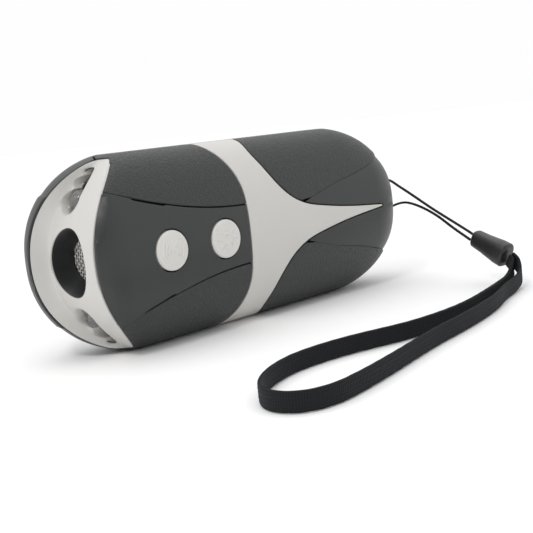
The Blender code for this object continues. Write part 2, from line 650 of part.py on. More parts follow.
def slot_outline(grow, side, steps=12):
    """Teardrop of a lamp slot as (y, height): round around the lamp, pointed outwards."""
    cy, cz = LAMP_Y, LAMP_Z
    along = math.atan2(SLOT_TIP[1] - cz, SLOT_TIP[0] - cy)
    reach = math.hypot(SLOT_TIP[1] - cz, SLOT_TIP[0] - cy)
    radius, tip = SLOT_RADIUS + grow, 0.35 * MM + grow
    lean = math.acos((radius - tip) / reach)
    points = []
    for k in range(steps + 1):
        a = along + lean + (2 * math.pi - 2 * lean) * k / steps
        points.append((cy + radius * math.cos(a), cz + radius * math.sin(a)))
    for k in range(4):
        a = along - lean + 2 * lean * k / 3
        points.append((SLOT_TIP[0] + tip * math.cos(a), SLOT_TIP[1] + tip * math.sin(a)))
    return [(y, side * z) for y, z in points]


def make_bezel(rows=24, columns=10):
    bm = bmesh.new()
    front, back = [], []
    tip = BEZEL_TIP - HALF_GAP
    for i in range(rows + 1):
        height = tip * math.sin(math.pi / 2 * (2 * i / rows - 1))
        face, rear, plate = bezel_edges(height)
        rear += HALF_GAP
        face = max(face - HALF_GAP, rear + BEZEL_TIP_WIDTH)
        shares = [(j / columns) ** 0.7 for j in range(columns + 1)]
        depths = [face + (rear - face) * share for share in shares]
        front.append([bm.verts.new((bezel_front(height, d), -d, CENTRE_Z + height)) for d in depths])
        back.append([bm.verts.new((plate + BEZEL_THICK, -d, CENTRE_Z + height)) for d in depths])
    for rows_of in (front, back):
        for a, b in zip(rows_of, rows_of[1:]):
            for j in range(columns):
                bm.faces.new((a[j], a[j + 1], b[j + 1], b[j]))
    for i in range(rows):
        for j in (0, columns):
            bm.faces.new((front[i][j], front[i + 1][j], back[i + 1][j], back[i][j]))
    for i in (0, rows):
        for j in range(columns):
            bm.faces.new((front[i][j], front[i][j + 1], back[i][j + 1], back[i][j]))
    bezel = add_object("nose_bezel", bm, "light_grey")
    mouth = ellipse(HORN_DEPTH_OFFSET, HORN_MOUTH[1], HORN_MOUTH[0])
    combine(bezel, prism(mouth, -FAR, NOSE_CUT_X, "X"), "DIFFERENCE")
    for side in (1, -1):
        combine(bezel, prism(slot_outline(0.0, side), -FAR, NOSE_CUT_X, "X"), "DIFFERENCE")


def make_horn():
    """Funnel from the mouth down to the sound transducer, its mesh, gasket and can."""
    bm = bmesh.new()
    rings = []
    for shrink, radius, front in ((GAP, THROAT_RADIUS + HORN_WALL, True),
                                  (GAP + HORN_WALL, THROAT_RADIUS, False)):
        wide = ellipse(HORN_DEPTH_OFFSET, HORN_MOUTH[1] - shrink, HORN_MOUTH[0] - shrink)
        narrow = ellipse(THROAT_Y, radius, radius)
        mouth = [bm.verts.new((bezel_front(h, -y) + HORN_RECESS, y, CENTRE_Z + h)) for y, h in wide]
        throat = [bm.verts.new((THROAT_X, y, CENTRE_Z + h)) for y, h in narrow]
        rings += [mouth, throat] if front else [throat, mouth]
    for ring, following in zip(rings, rings[1:] + rings[:1]):
        for k in range(len(ring)):
            n = (k + 1) % len(ring)
            bm.faces.new((ring[k], ring[n], following[n], following[k]))
    add_object("horn_funnel", bm, "black")
    place = (THROAT_X + GAP, THROAT_Y, CENTRE_Z)
    radius, thick = MESH_DISC
    lathe("transducer_mesh", [(0.0, 0.0), (0.0, radius), (thick, radius), (thick, 0.0)],
          "X", place, "metal", 24)
    inner, outer, thick = GASKET
    lathe("transducer_gasket", [(0.0, inner), (0.0, outer), (thick, outer), (thick, inner)],
          "X", place, "black", 24)
    radius, length, rounding = CAN
    lathe("transducer_can", [(0.0, 0.0), (0.0, radius - rounding), (rounding, radius), (length, radius),
                             (length, 0.0)], "X", (THROAT_X + CAN_START, THROAT_Y, CENTRE_Z), "metal", 24)


def make_lamps():
    for word, side in (("upper", 1), ("lower", -1)):
        tray = prism(slot_outline(TRAY_WALL, side), -FAR, TRAY_BACK_X, "X")
        tray.name = f"lamp_tray_{word}"
        combine(tray, nose_cutter(), "DIFFERENCE")
        combine(tray, prism(slot_outline(0.0, side), -FAR, TRAY_FLOOR_X, "X"), "DIFFERENCE")
        combine(tray, body_solid(WALL + GAP), "INTERSECT")
        steps = 5
        dome = [(LAMP_RADIUS - LAMP_RADIUS * math.cos(math.pi / 2 * k / steps),
                 LAMP_RADIUS * math.sin(math.pi / 2 * k / steps)) for k in range(steps + 1)]
        length = TRAY_FLOOR_X - GAP - LAMP_FRONT_X
        lathe(f"lamp_{word}", dome + [(length, LAMP_RADIUS), (length, 0.0)], "X",
              (LAMP_FRONT_X, LAMP_Y, CENTRE_Z + side * LAMP_Z), "clear", 20)


def make_buttons():
    for word, x in BUTTON_XS.items():
        top = HALF_DEPTH + front_step(x) + BUTTON_PROUD - BUTTON_FOOT
        profile = [(0.0, 0.0), (0.0, STEM_RADIUS), (STEM_FOOT, STEM_RADIUS), (STEM_FOOT, FLANGE_RADIUS),
                   (FLANGE_TOP, FLANGE_RADIUS), (FLANGE_TOP, BUTTON_RADIUS),
                   (top - 0.8 * BUTTON_ROUND, BUTTON_RADIUS),
                   (top - 0.25 * BUTTON_ROUND, BUTTON_RADIUS - 0.25 * BUTTON_ROUND),
                   (top, BUTTON_RADIUS - BUTTON_ROUND), (top, 0.0)]
        lathe(f"{word}_button", profile, "-Y", (x, -BUTTON_FOOT, CENTRE_Z), "light_grey", 24)
        plunger_y = -BUTTON_FOOT + GAP
        rod(f"{word}_switch_plunger", (x, plunger_y, CENTRE_Z), (x, plunger_y + PLUNGER_LENGTH, CENTRE_Z),
            PLUNGER_RADIUS, "black")
        board = BOARD_Y - BOARD_THICK / 2 - GAP
        switch = box(f"{word}_switch", (x - SWITCH_HALF, board - SWITCH_TALL, CENTRE_Z - SWITCH_HALF),
                     (x + SWITCH_HALF, board, CENTRE_Z + SWITCH_HALF), "metal")
        well = rod("cutter", (x, -HALF_DEPTH, CENTRE_Z), (x, board - SWITCH_FLOOR, CENTRE_Z),
                   PLUNGER_RADIUS + GAP, "metal")
        combine(switch, well, "DIFFERENCE")


def make_electronics():
    board_back = BOARD_Y + BOARD_THICK / 2 + GAP
    box("circuit_board", (BOARD_X[0], BOARD_Y - BOARD_THICK / 2, CENTRE_Z - BOARD_HALF),
        (BOARD_X[1], BOARD_Y + BOARD_THICK / 2, CENTRE_Z + BOARD_HALF), "board_green")
    for name, ((x1, x2), (z1, z2), tall), bevel in (("step_up_transformer", TRANSFORMER, 0.5 * MM),
                                                   ("driver_chip", DRIVER_CHIP, 0.2 * MM)):
        box(name, (x1, board_back, CENTRE_Z + z1), (x2, board_back + tall, CENTRE_Z + z2), "black", bevel)
    x, height, radius, length = CAPACITOR
    rim, end = 0.95 * radius, 0.3 * MM
    lathe("storage_capacitor", [(0.0, 0.0), (0.0, rim), (end, radius), (length - end, radius),
                                (length, rim), (length, 0.0)],
          "Y", (x, board_back, CENTRE_Z + height), "black", 20)
    length, depth, width = BATTERY
    x, y = BATTERY_CENTRE
    battery = box("battery_block", (x - length / 2, y - depth / 2, CENTRE_Z - width / 2),
                  (x + length / 2, y + depth / 2, CENTRE_Z + width / 2), "black", 1.2 * MM)
    end = x - length / 2
    snap = box("battery_snap", (end - SNAP_LENGTH, y - depth / 2 + SNAP_INSET, CENTRE_Z - SNAP_HALF),
               (end - GAP, y + depth / 2 - SNAP_INSET, CENTRE_Z + SNAP_HALF), "black", 0.6 * MM)
    for side in (1, -1):
        z = CENTRE_Z + side * TERMINAL_Z
        inside, outside = end + TERMINAL_IN, end - TERMINAL_OUT
        combine(battery, rod("cutter", (outside, y, z), (inside, y, z), TERMINAL_RADIUS, "metal"), "UNION")
        socket = rod("cutter", (outside - GAP, y, z), (inside, y, z), TERMINAL_RADIUS + GAP, "metal")
        combine(snap, socket, "DIFFERENCE")
    box("battery_pad", (PAD_X[0], y + depth / 2 + GAP, CENTRE_Z - PAD_HALF),
        (PAD_X[1], HALF_DEPTH - PAD_CLEARANCE, CENTRE_Z + PAD_HALF), "foam", 0.4 * MM)
    wire_x = (end - SNAP_LENGTH - GAP - WIRE_RADIUS) / MM
    middle = CENTRE_Z / MM
    wire_end = (board_back + WIRE_RADIUS) / MM
    for name, z, colour in (("battery_wire_red", 7.5, "red"), ("battery_wire_black", -7.5, "black")):
        cord(name, [(wire_x, 6.0, middle + z), (wire_x - 1.6, 3.5, middle + z * 1.05),
                    (wire_x - 2.6, 0.4, middle + z), (wire_x - 3.6, wire_end, middle + z * 0.9)],
             WIRE_RADIUS, 3, colour)


def make_strap():
    x, half, radius = STRAP_PIN
    rod("strap_pin", (x, HOLE_Y, CENTRE_Z - half), (x, HOLE_Y, CENTRE_Z + half), radius, "metal")
    cord("strap_string_upper", UPPER_STRING, STRING_RADIUS, 2, "black")
    cord("strap_string_lower", LOWER_STRING, STRING_RADIUS, 2, "black")
    start, end = (Vector(p) * MM for p in SLIDER_ENDS)
    axis = (end - start).normalized()
    up = (Vector((0.0, 0.0, 1.0)) - axis * axis.z).normalized()
    across = axis.cross(up)
    bm = bmesh.new()
    rings = []
    for share, size in SLIDER_PROFILE:
        centre = start.lerp(end, share)
        ring = []
        for k in range(16):
            c, s = math.cos(math.pi * k / 8), math.sin(math.pi * k / 8)
            a = math.copysign(abs(c) ** 0.6, c) * SLIDER_SIZE[0] / 2 * size
            b = math.copysign(abs(s) ** 0.6, s) * SLIDER_SIZE[1] / 2 * size
            ring.append(bm.verts.new(centre + up * a + across * b))
        rings.append(ring)
    skin_bm(bm, rings)
    add_object("strap_slider", bm, "charcoal")

    line = [p * MM for p in smooth_line(RIBBON, 2)]
    bm = bmesh.new()
    rings = []
    for k, place in enumerate(line):
        along = (line[min(k + 1, len(line) - 1)] - line[max(k - 1, 0)]).normalized()
        up = (Vector((0.0, 0.0, 1.0)) - along * along.z).normalized()
        across = along.cross(up)
        corners = [(0.5, 0.3), (0.5, -0.3), (0.3, -0.5), (-0.3, -0.5), (-0.5, -0.3), (-0.5, 0.3),
                   (-0.3, 0.5), (0.3, 0.5)]
        rings.append([bm.verts.new(place + up * a * RIBBON_WIDTH + across * b * RIBBON_THICK)
                      for a, b in corners])
    skin_bm(bm, rings)
    add_object("strap_ribbon", bm, "black")


def main():
    for old in list(bpy.data.objects):
        bpy.data.objects.remove(old)
    make_panels()
    make_face_shell()
    make_back_shell()
    make_battery_cover()
    make_screws()
    make_bezel()
    make_horn()
    make_lamps()
    make_buttons()
    make_electronics()
    make_strap()


main()
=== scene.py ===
import math

import bmesh
import bpy
import numpy as np
from mathutils import Matrix, Vector
from mathutils.geometry import delaunay_2d_cdt
from mathutils.kdtree import KDTree


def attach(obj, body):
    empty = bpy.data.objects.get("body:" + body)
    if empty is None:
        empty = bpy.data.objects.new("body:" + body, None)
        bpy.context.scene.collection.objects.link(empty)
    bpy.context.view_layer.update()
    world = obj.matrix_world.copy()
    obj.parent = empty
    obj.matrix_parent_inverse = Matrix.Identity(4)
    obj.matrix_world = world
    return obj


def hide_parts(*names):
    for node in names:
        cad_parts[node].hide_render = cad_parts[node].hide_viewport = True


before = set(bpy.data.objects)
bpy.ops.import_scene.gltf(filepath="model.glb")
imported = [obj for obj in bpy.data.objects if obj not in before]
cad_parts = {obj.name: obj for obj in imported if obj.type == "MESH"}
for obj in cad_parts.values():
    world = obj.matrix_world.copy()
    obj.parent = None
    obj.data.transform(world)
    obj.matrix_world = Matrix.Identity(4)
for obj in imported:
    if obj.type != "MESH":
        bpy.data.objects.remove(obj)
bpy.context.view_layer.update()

MM = 0.001

# ---- the body's surface, as the CAD model has it; lengths in millimetres ----
NOSE_X, TAIL_X = -61.35, 61.0
LENGTH = TAIL_X - NOSE_X
HALF_WIDTH, HALF_DEPTH = 24.15, 15.7
CENTRE_Z = 23.85
POWER = 2.39
WIDTH_END = (23.8, 27.7, 1.97)
DEPTH_END = (14.0, 17.5, 2.07)
STAR_FRONT_X = -8.8
BEZEL_X, BEZEL_TIP, BEZEL_THICK = -55.4, 22.9, 1.8
FRONT_STEP, BACK_STEP = 0.8, 0.35
FLARE, FLARE_POWER, TILT = 2.0, 2.2, 0.07
SEAM_LOW, SEAM_RISE, SEAM_RUN, SEAM_POWER = 7.5, 8.0, 41.1, 1.9
STAR_CURL, STAR_FLAT, STAR_RUN, STAR_POWER = 5.6, 8.0, 15.5, 2.2
PLATE_CURL, PLATE_RUN, PLATE_POWER = 12.3, 22.4, 2.25
BEZEL_BACK, BEZEL_BACK_RISE = -4.5, 7.2
OUTLINE_TOP = 23.6  # height at which the front pieces' outlines meet the middle plane
SHELL_THICK = 1.0
STRIP_HALF, COVER_FRONT_X, COVER_LOW_Y = 15.5, -9.0, 6.0
GAP, HALF_GAP, GROOVE_GAP = 0.3, 0.15, 0.03
BUTTON_XS = {"sound": -35.2, "light": -17.6}
HORN_Y, HORN_HALF_Z, HORN_HALF_Y = -3.5, 8.2, 6.2
THROAT_X, THROAT_Y, THROAT_RADIUS = -50.3, -3.0, 5.1
LAMP_Y, LAMP_Z = -1.5, 13.9
LENS_X, LENS_RADIUS = -51.3, 2.45
SLOT_TIP = (-2.6, 20.9)
LAMP_LOBES = [(0.0, 2.85), (3.9, 1.85), (6.4, 1.0)]  # places along the slot and radii
SLOT_REACH, SLOT_HULL, HULL_FROM, HULL_POWER = 7.35, 7.4, 0.75, 1.7
BUTTON_HOLE, SCREW_HOLE, STRAP_HOLE = 5.1, 2.05, 0.7
SEAT_X, SEAT_HALF, SEAT_Y = -11.0, 17.0, 4.5
BAY_X, BAY_HALF = (-4.6, 45.2), 13.9
SCREW_PLACES = [(x, side * 18.0) for x in (-30.0, 38.0) for side in (1, -1)]
STRAP_HOLES = [(1.6, 4.5), (1.6, -4.5)]
STAR_REAR = [(0.9, 30.0), (-0.2, 24.0), (-1.1, 20.3), (0.7, 16.0), (3.7, 11.4), (7.5, 7.8),
             (12.8, 5.1), (22.0, 3.1), (32.5, 1.6), (45.3, 0.4)]
GROOVE = [(12.4, 5.3), (24.7, 8.5), (30.3, 9.6), (36.1, 10.7), (41.1, 11.9), (48.7, 13.9),
          (70.0, 20.5)]
SPAN = 195.0  # chart length of the whole body
AROUND = 21.0  # chart length of one radian about its axis

# ---- the strap's routes ----
UPPER_STRING = [
    (59.4, 1.6, 28.4), (62.0, 1.4, 28.6), (63.4, 0.3, 29.2), (63.7, -1.8, 29.8),
    (62.6, -5.6, 29.4), (60.7, -10.6, 27.6), (58.9, -17.0, 24.8), (57.5, -24.0, 21.3),
    (56.6, -31.4, 17.6), (56.2, -36.6, 14.9), (56.0, -38.8, 13.7),
]
LOWER_STRING = [
    (59.4, 1.6, 19.4), (62.0, 1.4, 19.4), (63.8, 0.0, 19.9), (64.3, -3.0, 20.6),
    (63.0, -8.0, 22.0), (61.2, -12.6, 22.5), (59.4, -18.6, 21.5), (57.9, -25.4, 19.0),
    (56.3, -32.4, 15.3), (55.3, -37.0, 13.0), (54.9, -38.5, 12.3),
]
SLIDER_ENDS = [(55.4, -39.6, 12.9), (54.2, -50.6, 7.9)]
RIBBON = [
    (54.8, -51.3, 7.3), (54.1, -53.6, 5.6), (51.6, -55.8, 3.4), (46.5, -57.6, 2.4),
    (36.0, -60.5, 2.1), (24.0, -64.8, 2.1), (12.0, -67.8, 2.1), (0.6, -69.9, 2.1),
    (-9.4, -71.4, 2.1), (-19.4, -73.4, 2.1), (-29.3, -75.6, 2.1), (-38.1, -77.4, 2.1),
    (-45.7, -78.7, 2.1), (-52.2, -79.3, 2.1), (-57.2, -78.4, 2.1), (-60.4, -76.0, 2.1),
    (-61.6, -72.2, 2.1), (-60.6, -68.4, 2.1), (-56.8, -64.0, 2.1), (-50.0, -59.9, 2.1),
    (-42.0, -57.4, 2.1), (-35.5, -56.9, 2.1), (-29.4, -57.3, 2.1), (-23.8, -58.2, 2.1),
    (-18.6, -59.5, 2.1), (-9.9, -61.9, 2.1), (-3.0, -62.9, 2.1), (7.5, -63.1, 2.1),
    (17.3, -62.0, 2.1), (30.5, -59.0, 2.1), (39.4, -56.6, 2.1), (46.0, -54.9, 2.4),
    (50.4, -53.6, 3.6), (52.7, -52.7, 5.6), (53.6, -51.2, 7.1),
]
STRING_RADIUS, STRING_STEP, STRING_SIDES, PLAIT_LENGTH = 0.4, 0.22, 14, 0.5
RIBBON_WIDTH, RIBBON_THICK, RIBBON_STEP, RIBBON_THREADS = 4.2, 1.0, 0.5, 28
ROUTE_STEPS = 8
SLIDER_SIZE = (6.8, 5.6)
SLIDER_POWER, SLIDER_ROUNDING = 0.66, 0.55
SLIDER_PROFILE = [(0.0, 0.62), (0.06, 0.72), (0.35, 0.8), (0.75, 0.98), (0.94, 1.0), (1.0, 0.9)]

# ---- camera ----
CAMERA_PLACE = Vector((-178.37, -192.81, 51.24)) * MM
CAMERA_HEADING = math.radians(45.54)
CAMERA_DROP = math.radians(8.42)
CAMERA_ROLL = math.radians(6.02)
LENS_MM, SENSOR_MM = 65.6, 36.0


def make_camera():
    data = bpy.data.cameras.new("camera")
    data.lens, data.sensor_width = LENS_MM, SENSOR_MM
    data.clip_start, data.clip_end = 0.01, 30.0
    camera = bpy.data.objects.new("camera", data)
    ahead = Vector((math.cos(CAMERA_DROP) * math.cos(CAMERA_HEADING),
                    math.cos(CAMERA_DROP) * math.sin(CAMERA_HEADING), -math.sin(CAMERA_DROP)))
    level = Vector((math.sin(CAMERA_HEADING), -math.cos(CAMERA_HEADING), 0.0))
    right = level * math.cos(CAMERA_ROLL) - level.cross(ahead) * math.sin(CAMERA_ROLL)
    up = right.cross(ahead)
    turn = Matrix((right, up, -ahead)).transposed().to_4x4()
    camera.matrix_world = Matrix.Translation(CAMERA_PLACE) @ turn
    bpy.context.scene.collection.objects.link(camera)
    bpy.context.scene.camera = camera


# ---- materials ----
class Look:
    """A material under construction, with short calls for the nodes it uses."""

    def __init__(self, name, colour, roughness, metallic=0.0, **sockets):
        self.material = bpy.data.materials.new(name)
        self.material.use_nodes = True
        self.tree = self.material.node_tree
        self.colour = colour
        self.shader = self.tree.nodes["Principled BSDF"]
        self.shader.inputs["Base Color"].default_value = (*colour, 1.0)
        self.shader.inputs["Roughness"].default_value = roughness
        self.shader.inputs["Metallic"].default_value = metallic
        for key, value in sockets.items():
            self.shader.inputs[key.replace("_", " ")].default_value = value
        self.place = self.tree.nodes.new("ShaderNodeTexCoord").outputs["Object"]

    def feed(self, socket, value):
        if hasattr(value, "links"):
            self.tree.links.new(value, socket)
        else:
            socket.default_value = value

    def to(self, name, value):
        self.feed(self.shader.inputs[name], value)

    def node(self, kind, settings, **inputs):
        """A new node with its settings, and a value or a link for each named input."""
        made = self.tree.nodes.new("ShaderNode" + kind)
        for name, value in settings.items():
            setattr(made, name, value)
        for name, value in inputs.items():
            self.feed(made.inputs[name], value)
        return made

    def noise(self, scale, detail=3.0, rough=0.5, place=None, out="Fac"):
        return self.node("TexNoise", {}, Vector=place or self.place, Scale=scale, Detail=detail,
                         Roughness=rough).outputs[out]

    def cells(self, scale, place=None):
        return self.node("TexVoronoi", {"feature": "DISTANCE_TO_EDGE"}, Vector=place or self.place,
                         Scale=scale).outputs["Distance"]

    def waves(self, scale, direction, place, distortion):
        return self.node("TexWave", {"bands_direction": direction}, Vector=place, Scale=scale,
                         Distortion=distortion).outputs["Fac"]

    def vector(self, operation, first, second):
        made = self.node("VectorMath", {"operation": operation})
        self.feed(made.inputs[0], first)
        self.feed(made.inputs["Scale" if operation == "SCALE" else 1], second)
        return made.outputs["Vector"]

    def math(self, operation, first, second):
        made = self.node("Math", {"operation": operation})
        self.feed(made.inputs[0], first)
        self.feed(made.inputs[1], second)
        return made.outputs[0]

    def blend(self, first, share, second, other_share):
        """The sum of two values, each times its share."""
        return self.math("ADD", self.math("MULTIPLY", first, share),
                         self.math("MULTIPLY", second, other_share))

    def ramp(self, value, *stops):
        """Colours or greys at positions along a value from 0 to 1."""
        node = self.tree.nodes.new("ShaderNodeValToRGB")
        self.feed(node.inputs["Fac"], value)
        elements = node.color_ramp.elements
        for k, (at, colour) in enumerate(stops):
            element = elements[k] if k < 2 else elements.new(at)
            element.position = at
            grey = isinstance(colour, (int, float))
            element.color = (colour,) * 3 + (1.0,) if grey else (*colour, 1.0)
        return node.outputs["Color"]

    def bump(self, height, distance, strength, under=None):
        links = {"Height": height} if under is None else {"Height": height, "Normal": under}
        return self.node("Bump", {}, Distance=distance, Strength=strength, **links).outputs["Normal"]

    def tints(self, value, *stops):
        """Tints of the base colour at positions along a value."""
        colours = [(at, tint(self.colour, share)) for at, share in stops]
        self.to("Base Color", self.ramp(value, *colours))


def tint(colour, amount):
    return tuple(min(c * amount, 1.0) for c in colour)


def satin(name, colour, roughness, spread=0.05, grain=2600.0, depth=0.00002, **sockets):
    """Moulded plastic: fine spark-eroded grain, faint cloudiness, small changes of gloss."""
    look = Look(name, colour, roughness, **sockets)
    cloud = look.noise(110.0, 4.0, 0.6)
    look.tints(cloud, (0.3, 1 - spread), (0.7, 1 + spread))
    fine = look.noise(grain, 3.0, 0.6)
    patchy = look.blend(fine, 0.6, cloud, 0.4)
    look.to("Roughness", look.ramp(patchy, (0.3, roughness - 0.06), (0.7, roughness + 0.06)))
    look.to("Normal", look.bump(fine, depth, 0.7))
    return look.material


def leather_grain(name, colour, roughness):
    """Moulded leather grain: flat irregular pebbles with fine creases between them."""
    look = Look(name, colour, roughness)
    shift = look.vector("SCALE", look.noise(500.0, 2.0, 0.5, out="Color"), 0.0012)
    bent = look.vector("ADD", look.place, shift)
    edges = look.cells(1150.0, place=bent)
    pebble = look.ramp(edges, (0.0, 0.0), (0.12, 0.55), (0.45, 1.0))
    swell = look.noise(900.0, 2.0, 0.5)
    height = look.blend(pebble, 0.6, swell, 0.4)
    # Painted shade: the base colour is darker in the low creases between pebbles and a little lighter on
    # the pebble tops, with some random tone from the swell noise.
    look.tints(height, (0.15, 0.86), (0.8, 1.04))
    look.to("Roughness", look.ramp(height, (0.2, roughness + 0.08), (0.8, roughness - 0.04)))
    fine = look.noise(4200.0, 2.0, 0.6)
    look.to("Normal", look.bump(height, 0.0002, 0.8, look.bump(fine, 0.000006, 0.4)))
    return look.material


def metal(name, colour, roughness, lines=900.0):
    """Plated metal with fine rubbed lines and slight tarnish."""
    look = Look(name, colour, roughness, 1.0)
    rubbed = look.noise(lines, 3.0, 0.6, look.vector("MULTIPLY", look.place, (1.0, 1.0, 0.12)))
    tarnish = look.noise(260.0, 4.0, 0.6)
    look.tints(tarnish, (0.3, 0.86), (0.7, 1.06))
    look.to("Roughness", look.ramp(rubbed, (0.3, roughness - 0.07), (0.7, roughness + 0.09)))
    look.to("Normal", look.bump(rubbed, 0.00001, 0.4))
    return look.material


def ribbon_weave(name, colour):
    """Woven tape: fine weft ribs across, warp bundles along, fuzzy sheen."""
    look = Look(name, colour, 0.8, Sheen_Weight=0.03, Sheen_Roughness=0.4, Specular_IOR_Level=0.18)
    strip = look.tree.nodes.new("ShaderNodeUVMap")
    strip.uv_map = "strip"
    along = strip.outputs["UV"]
    weft = look.waves(0.62, "X", along, 0.6)
    warp = look.waves(0.55, "Y", along, 0.4)
    fibre = look.noise(2.2, 4.0, 0.7, look.vector("MULTIPLY", along, (1.0, 5.0, 1.0)))
    height = look.blend(weft, look.math("ADD", 0.35, warp), fibre, 0.35)
    # Painted shade and highlight: the base colour is darker in the dips between threads and lighter on
    # the raised threads, with some random fibre tone.
    look.tints(height, (0.2, 0.8), (0.7, 1.25))
    look.to("Normal", look.bump(height, 0.00006, 0.8))
    return look.material


def braid(name, colour):
    """Fine tangled fibres with a little sheen."""
    look = Look(name, colour, 0.7, Sheen_Weight=0.03, Sheen_Roughness=0.4, Specular_IOR_Level=0.25)
    fibre = look.noise(3800.0, 3.0, 0.6)
    look.tints(fibre, (0.3, 0.6), (0.7, 1.8))
    look.to("Normal", look.bump(fibre, 0.00005, 0.8))
    return look.material


CHARCOAL = (0.0240, 0.0260, 0.0260)
WARM_GREY = (0.60, 0.585, 0.56)
LOOKS = {}


def make_looks():
    LOOKS["panel"] = satin("panel_plastic", CHARCOAL, 0.42, 0.06)
    LOOKS["grip"] = leather_grain("grip_plastic", CHARCOAL, 0.42)
    LOOKS["back"] = satin("back_plastic", tint(CHARCOAL, 0.9), 0.46, 0.06)
    LOOKS["inner"] = satin("inner_plastic", (0.022, 0.024, 0.024), 0.6, 0.08)
    LOOKS["trim"] = satin("trim_plastic", WARM_GREY, 0.38, 0.012, 2200.0, 0.000008)
    LOOKS["button"] = satin("button_plastic", (0.66, 0.65, 0.62), 0.36, 0.012, 2600.0, 0.000006)
    LOOKS["horn"] = satin("horn_plastic", (0.012, 0.0125, 0.0135), 0.5, 0.1, 1800.0, 0.00001)
    LOOKS["steel"] = metal("steel", (0.62, 0.61, 0.6), 0.3)
    LOOKS["mesh"] = metal("mesh_wire", (0.8, 0.79, 0.75), 0.4, 2500.0)
    LOOKS["reflector"] = metal("reflector_plating", (0.6, 0.57, 0.53), 0.3, 700.0)
    LOOKS["slider"] = satin("slider_plastic", (0.02, 0.02, 0.022), 0.34, 0.08, 1500.0)
    LOOKS["ribbon"] = ribbon_weave("ribbon_tape", (0.011, 0.012, 0.014))
    LOOKS["string"] = braid("string_braid", (0.010, 0.011, 0.013))
    LOOKS["rubber"] = satin("rubber", (0.014, 0.014, 0.015), 0.72, 0.12)
    LOOKS["foam"] = braid("foam_cells", (0.055, 0.055, 0.058))
    LOOKS["component"] = satin("component_resin", (0.018, 0.018, 0.02), 0.44, 0.1)
    LOOKS["battery"] = satin("battery_case", (0.03, 0.035, 0.05), 0.3, 0.1, 600.0)
    LOOKS["wire_red"] = satin("wire_red", (0.42, 0.02, 0.02), 0.4, 0.06)
    LOOKS["wire_black"] = satin("wire_black", (0.015, 0.015, 0.015), 0.4, 0.08)
    board = Look("board_lacquer", (0.012, 0.11, 0.05), 0.3, Coat_Weight=0.4)
    tracks = board.cells(420.0)
    board.to("Base Color", board.ramp(tracks, (0.02, (0.03, 0.19, 0.09)), (0.05, (0.012, 0.11, 0.05))))
    board.to("Normal", board.bump(tracks, 0.00004, 0.4))
    LOOKS["board"] = board.material
    clear = Look("lamp_resin", (0.97, 0.98, 1.0), 0.04, Transmission_Weight=0.88, IOR=1.5)
    ripple = clear.noise(300.0, 2.0)
    clear.to("Roughness", clear.ramp(ripple, (0.3, 0.03), (0.7, 0.09)))
    clear.to("Normal", clear.bump(ripple, 0.00004, 0.3))
    LOOKS["clear"] = clear.material
    die = Look("lamp_phosphor", (0.85, 0.72, 0.25), 0.5)
    speck = die.noise(2500.0, 2.0)
    die.to("Base Color", die.ramp(speck, (0.3, (0.8, 0.66, 0.2)), (0.7, (0.95, 0.85, 0.4))))
    LOOKS["phosphor"] = die.material
    floor = Look("floor_paper", (0.9, 0.9, 0.9), 0.85)
    paper = floor.noise(40.0, 5.0)
    floor.to("Base Color", floor.ramp(paper, (0.3, 0.965), (0.7, 0.975)))
    LOOKS["floor"] = floor.material


# ---- building pieces ----
def link_mesh(name, points, faces, look, body="root", replaces=(), slot=None, sharp=40.0):
    """A mesh object from millimetre points, riding on a body."""
    mesh = bpy.data.meshes.new(name)
    mesh.from_pydata([tuple(p) for p in np.asarray(points) * MM], [], faces)
    bm = bmesh.new()
    bm.from_mesh(mesh)
    bmesh.ops.recalc_face_normals(bm, faces=bm.faces)
    bm.to_mesh(mesh)
    bm.free()
    mesh.materials.append(LOOKS[look])
    mesh.shade_smooth()
    mesh.set_sharp_from_angle(angle=math.radians(sharp))
    made = bpy.data.objects.new(name, mesh)
    bpy.context.scene.collection.objects.link(made)
    bpy.context.view_layer.update()
    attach(made, body)
    if replaces:
        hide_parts(*replaces)
    return made


def tube_faces(count, sides, closed_ends=True, start=0):
    """Faces of a tube of `count` rings; the two ends are filled."""
    faces = []
    for i in range(count - 1):
        for k in range(sides):
            n = (k + 1) % sides
            a, b = start + i * sides, start + (i + 1) * sides
            faces.append((a + k, a + n, b + n, b + k))
    if closed_ends:
        faces.append(tuple(start + k for k in range(sides)))
        last = start + (count - 1) * sides
        faces.append(tuple(last + k for k in reversed(range(sides))))
    return faces


def smooth_line(points, steps):
    """Centripetal Catmull-Rom curve through the points, with that many steps between two."""
    nodes = [Vector(p) for p in points]
    nodes = [2 * nodes[0] - nodes[1], *nodes, 2 * nodes[-1] - nodes[-2]]
    line = []
    for p0, p1, p2, p3 in zip(nodes, nodes[1:], nodes[2:], nodes[3:]):
        t1 = (p1 - p0).length ** 0.5
        t2 = t1 + (p2 - p1).length ** 0.5
        t3 = t2 + (p3 - p2).length ** 0.5
        for k in range(steps):
            t = t1 + (t2 - t1) * k / steps
            a1 = p0.lerp(p1, t / t1)
            a2 = p1.lerp(p2, (t - t1) / (t2 - t1))
            a3 = p2.lerp(p3, (t - t2) / (t3 - t2))
            b1 = a1.lerp(a2, t / t2)
            b2 = a2.lerp(a3, (t - t1) / (t3 - t1))
            line.append(b1.lerp(b2, (t - t1) / (t2 - t1)))
    return [*line, nodes[-2]]


def even_steps(points, spacing, closed=False):
    """The polyline again with points an even distance apart."""
    points = np.asarray(points, float)
    if closed:
        points = np.vstack((points, points[:1]))
    run = np.concatenate(([0.0], np.cumsum(np.linalg.norm(np.diff(points, axis=0), axis=1))))
    count = max(int(round(run[-1] / spacing)), 3)
    at = np.linspace(0.0, run[-1], count + 1)
    made = np.stack([np.interp(at, run, points[:, k]) for k in range(points.shape[1])], -1)
    return made[:-1] if closed else made


def line_length(line):
    return float(np.linalg.norm(np.diff(np.asarray(line), axis=0), axis=1).sum())


def direction(line, k):
    """Direction of a polyline at its point k."""
    return Vector(line[min(k + 1, len(line) - 1)] - line[max(k - 1, 0)]).normalized()


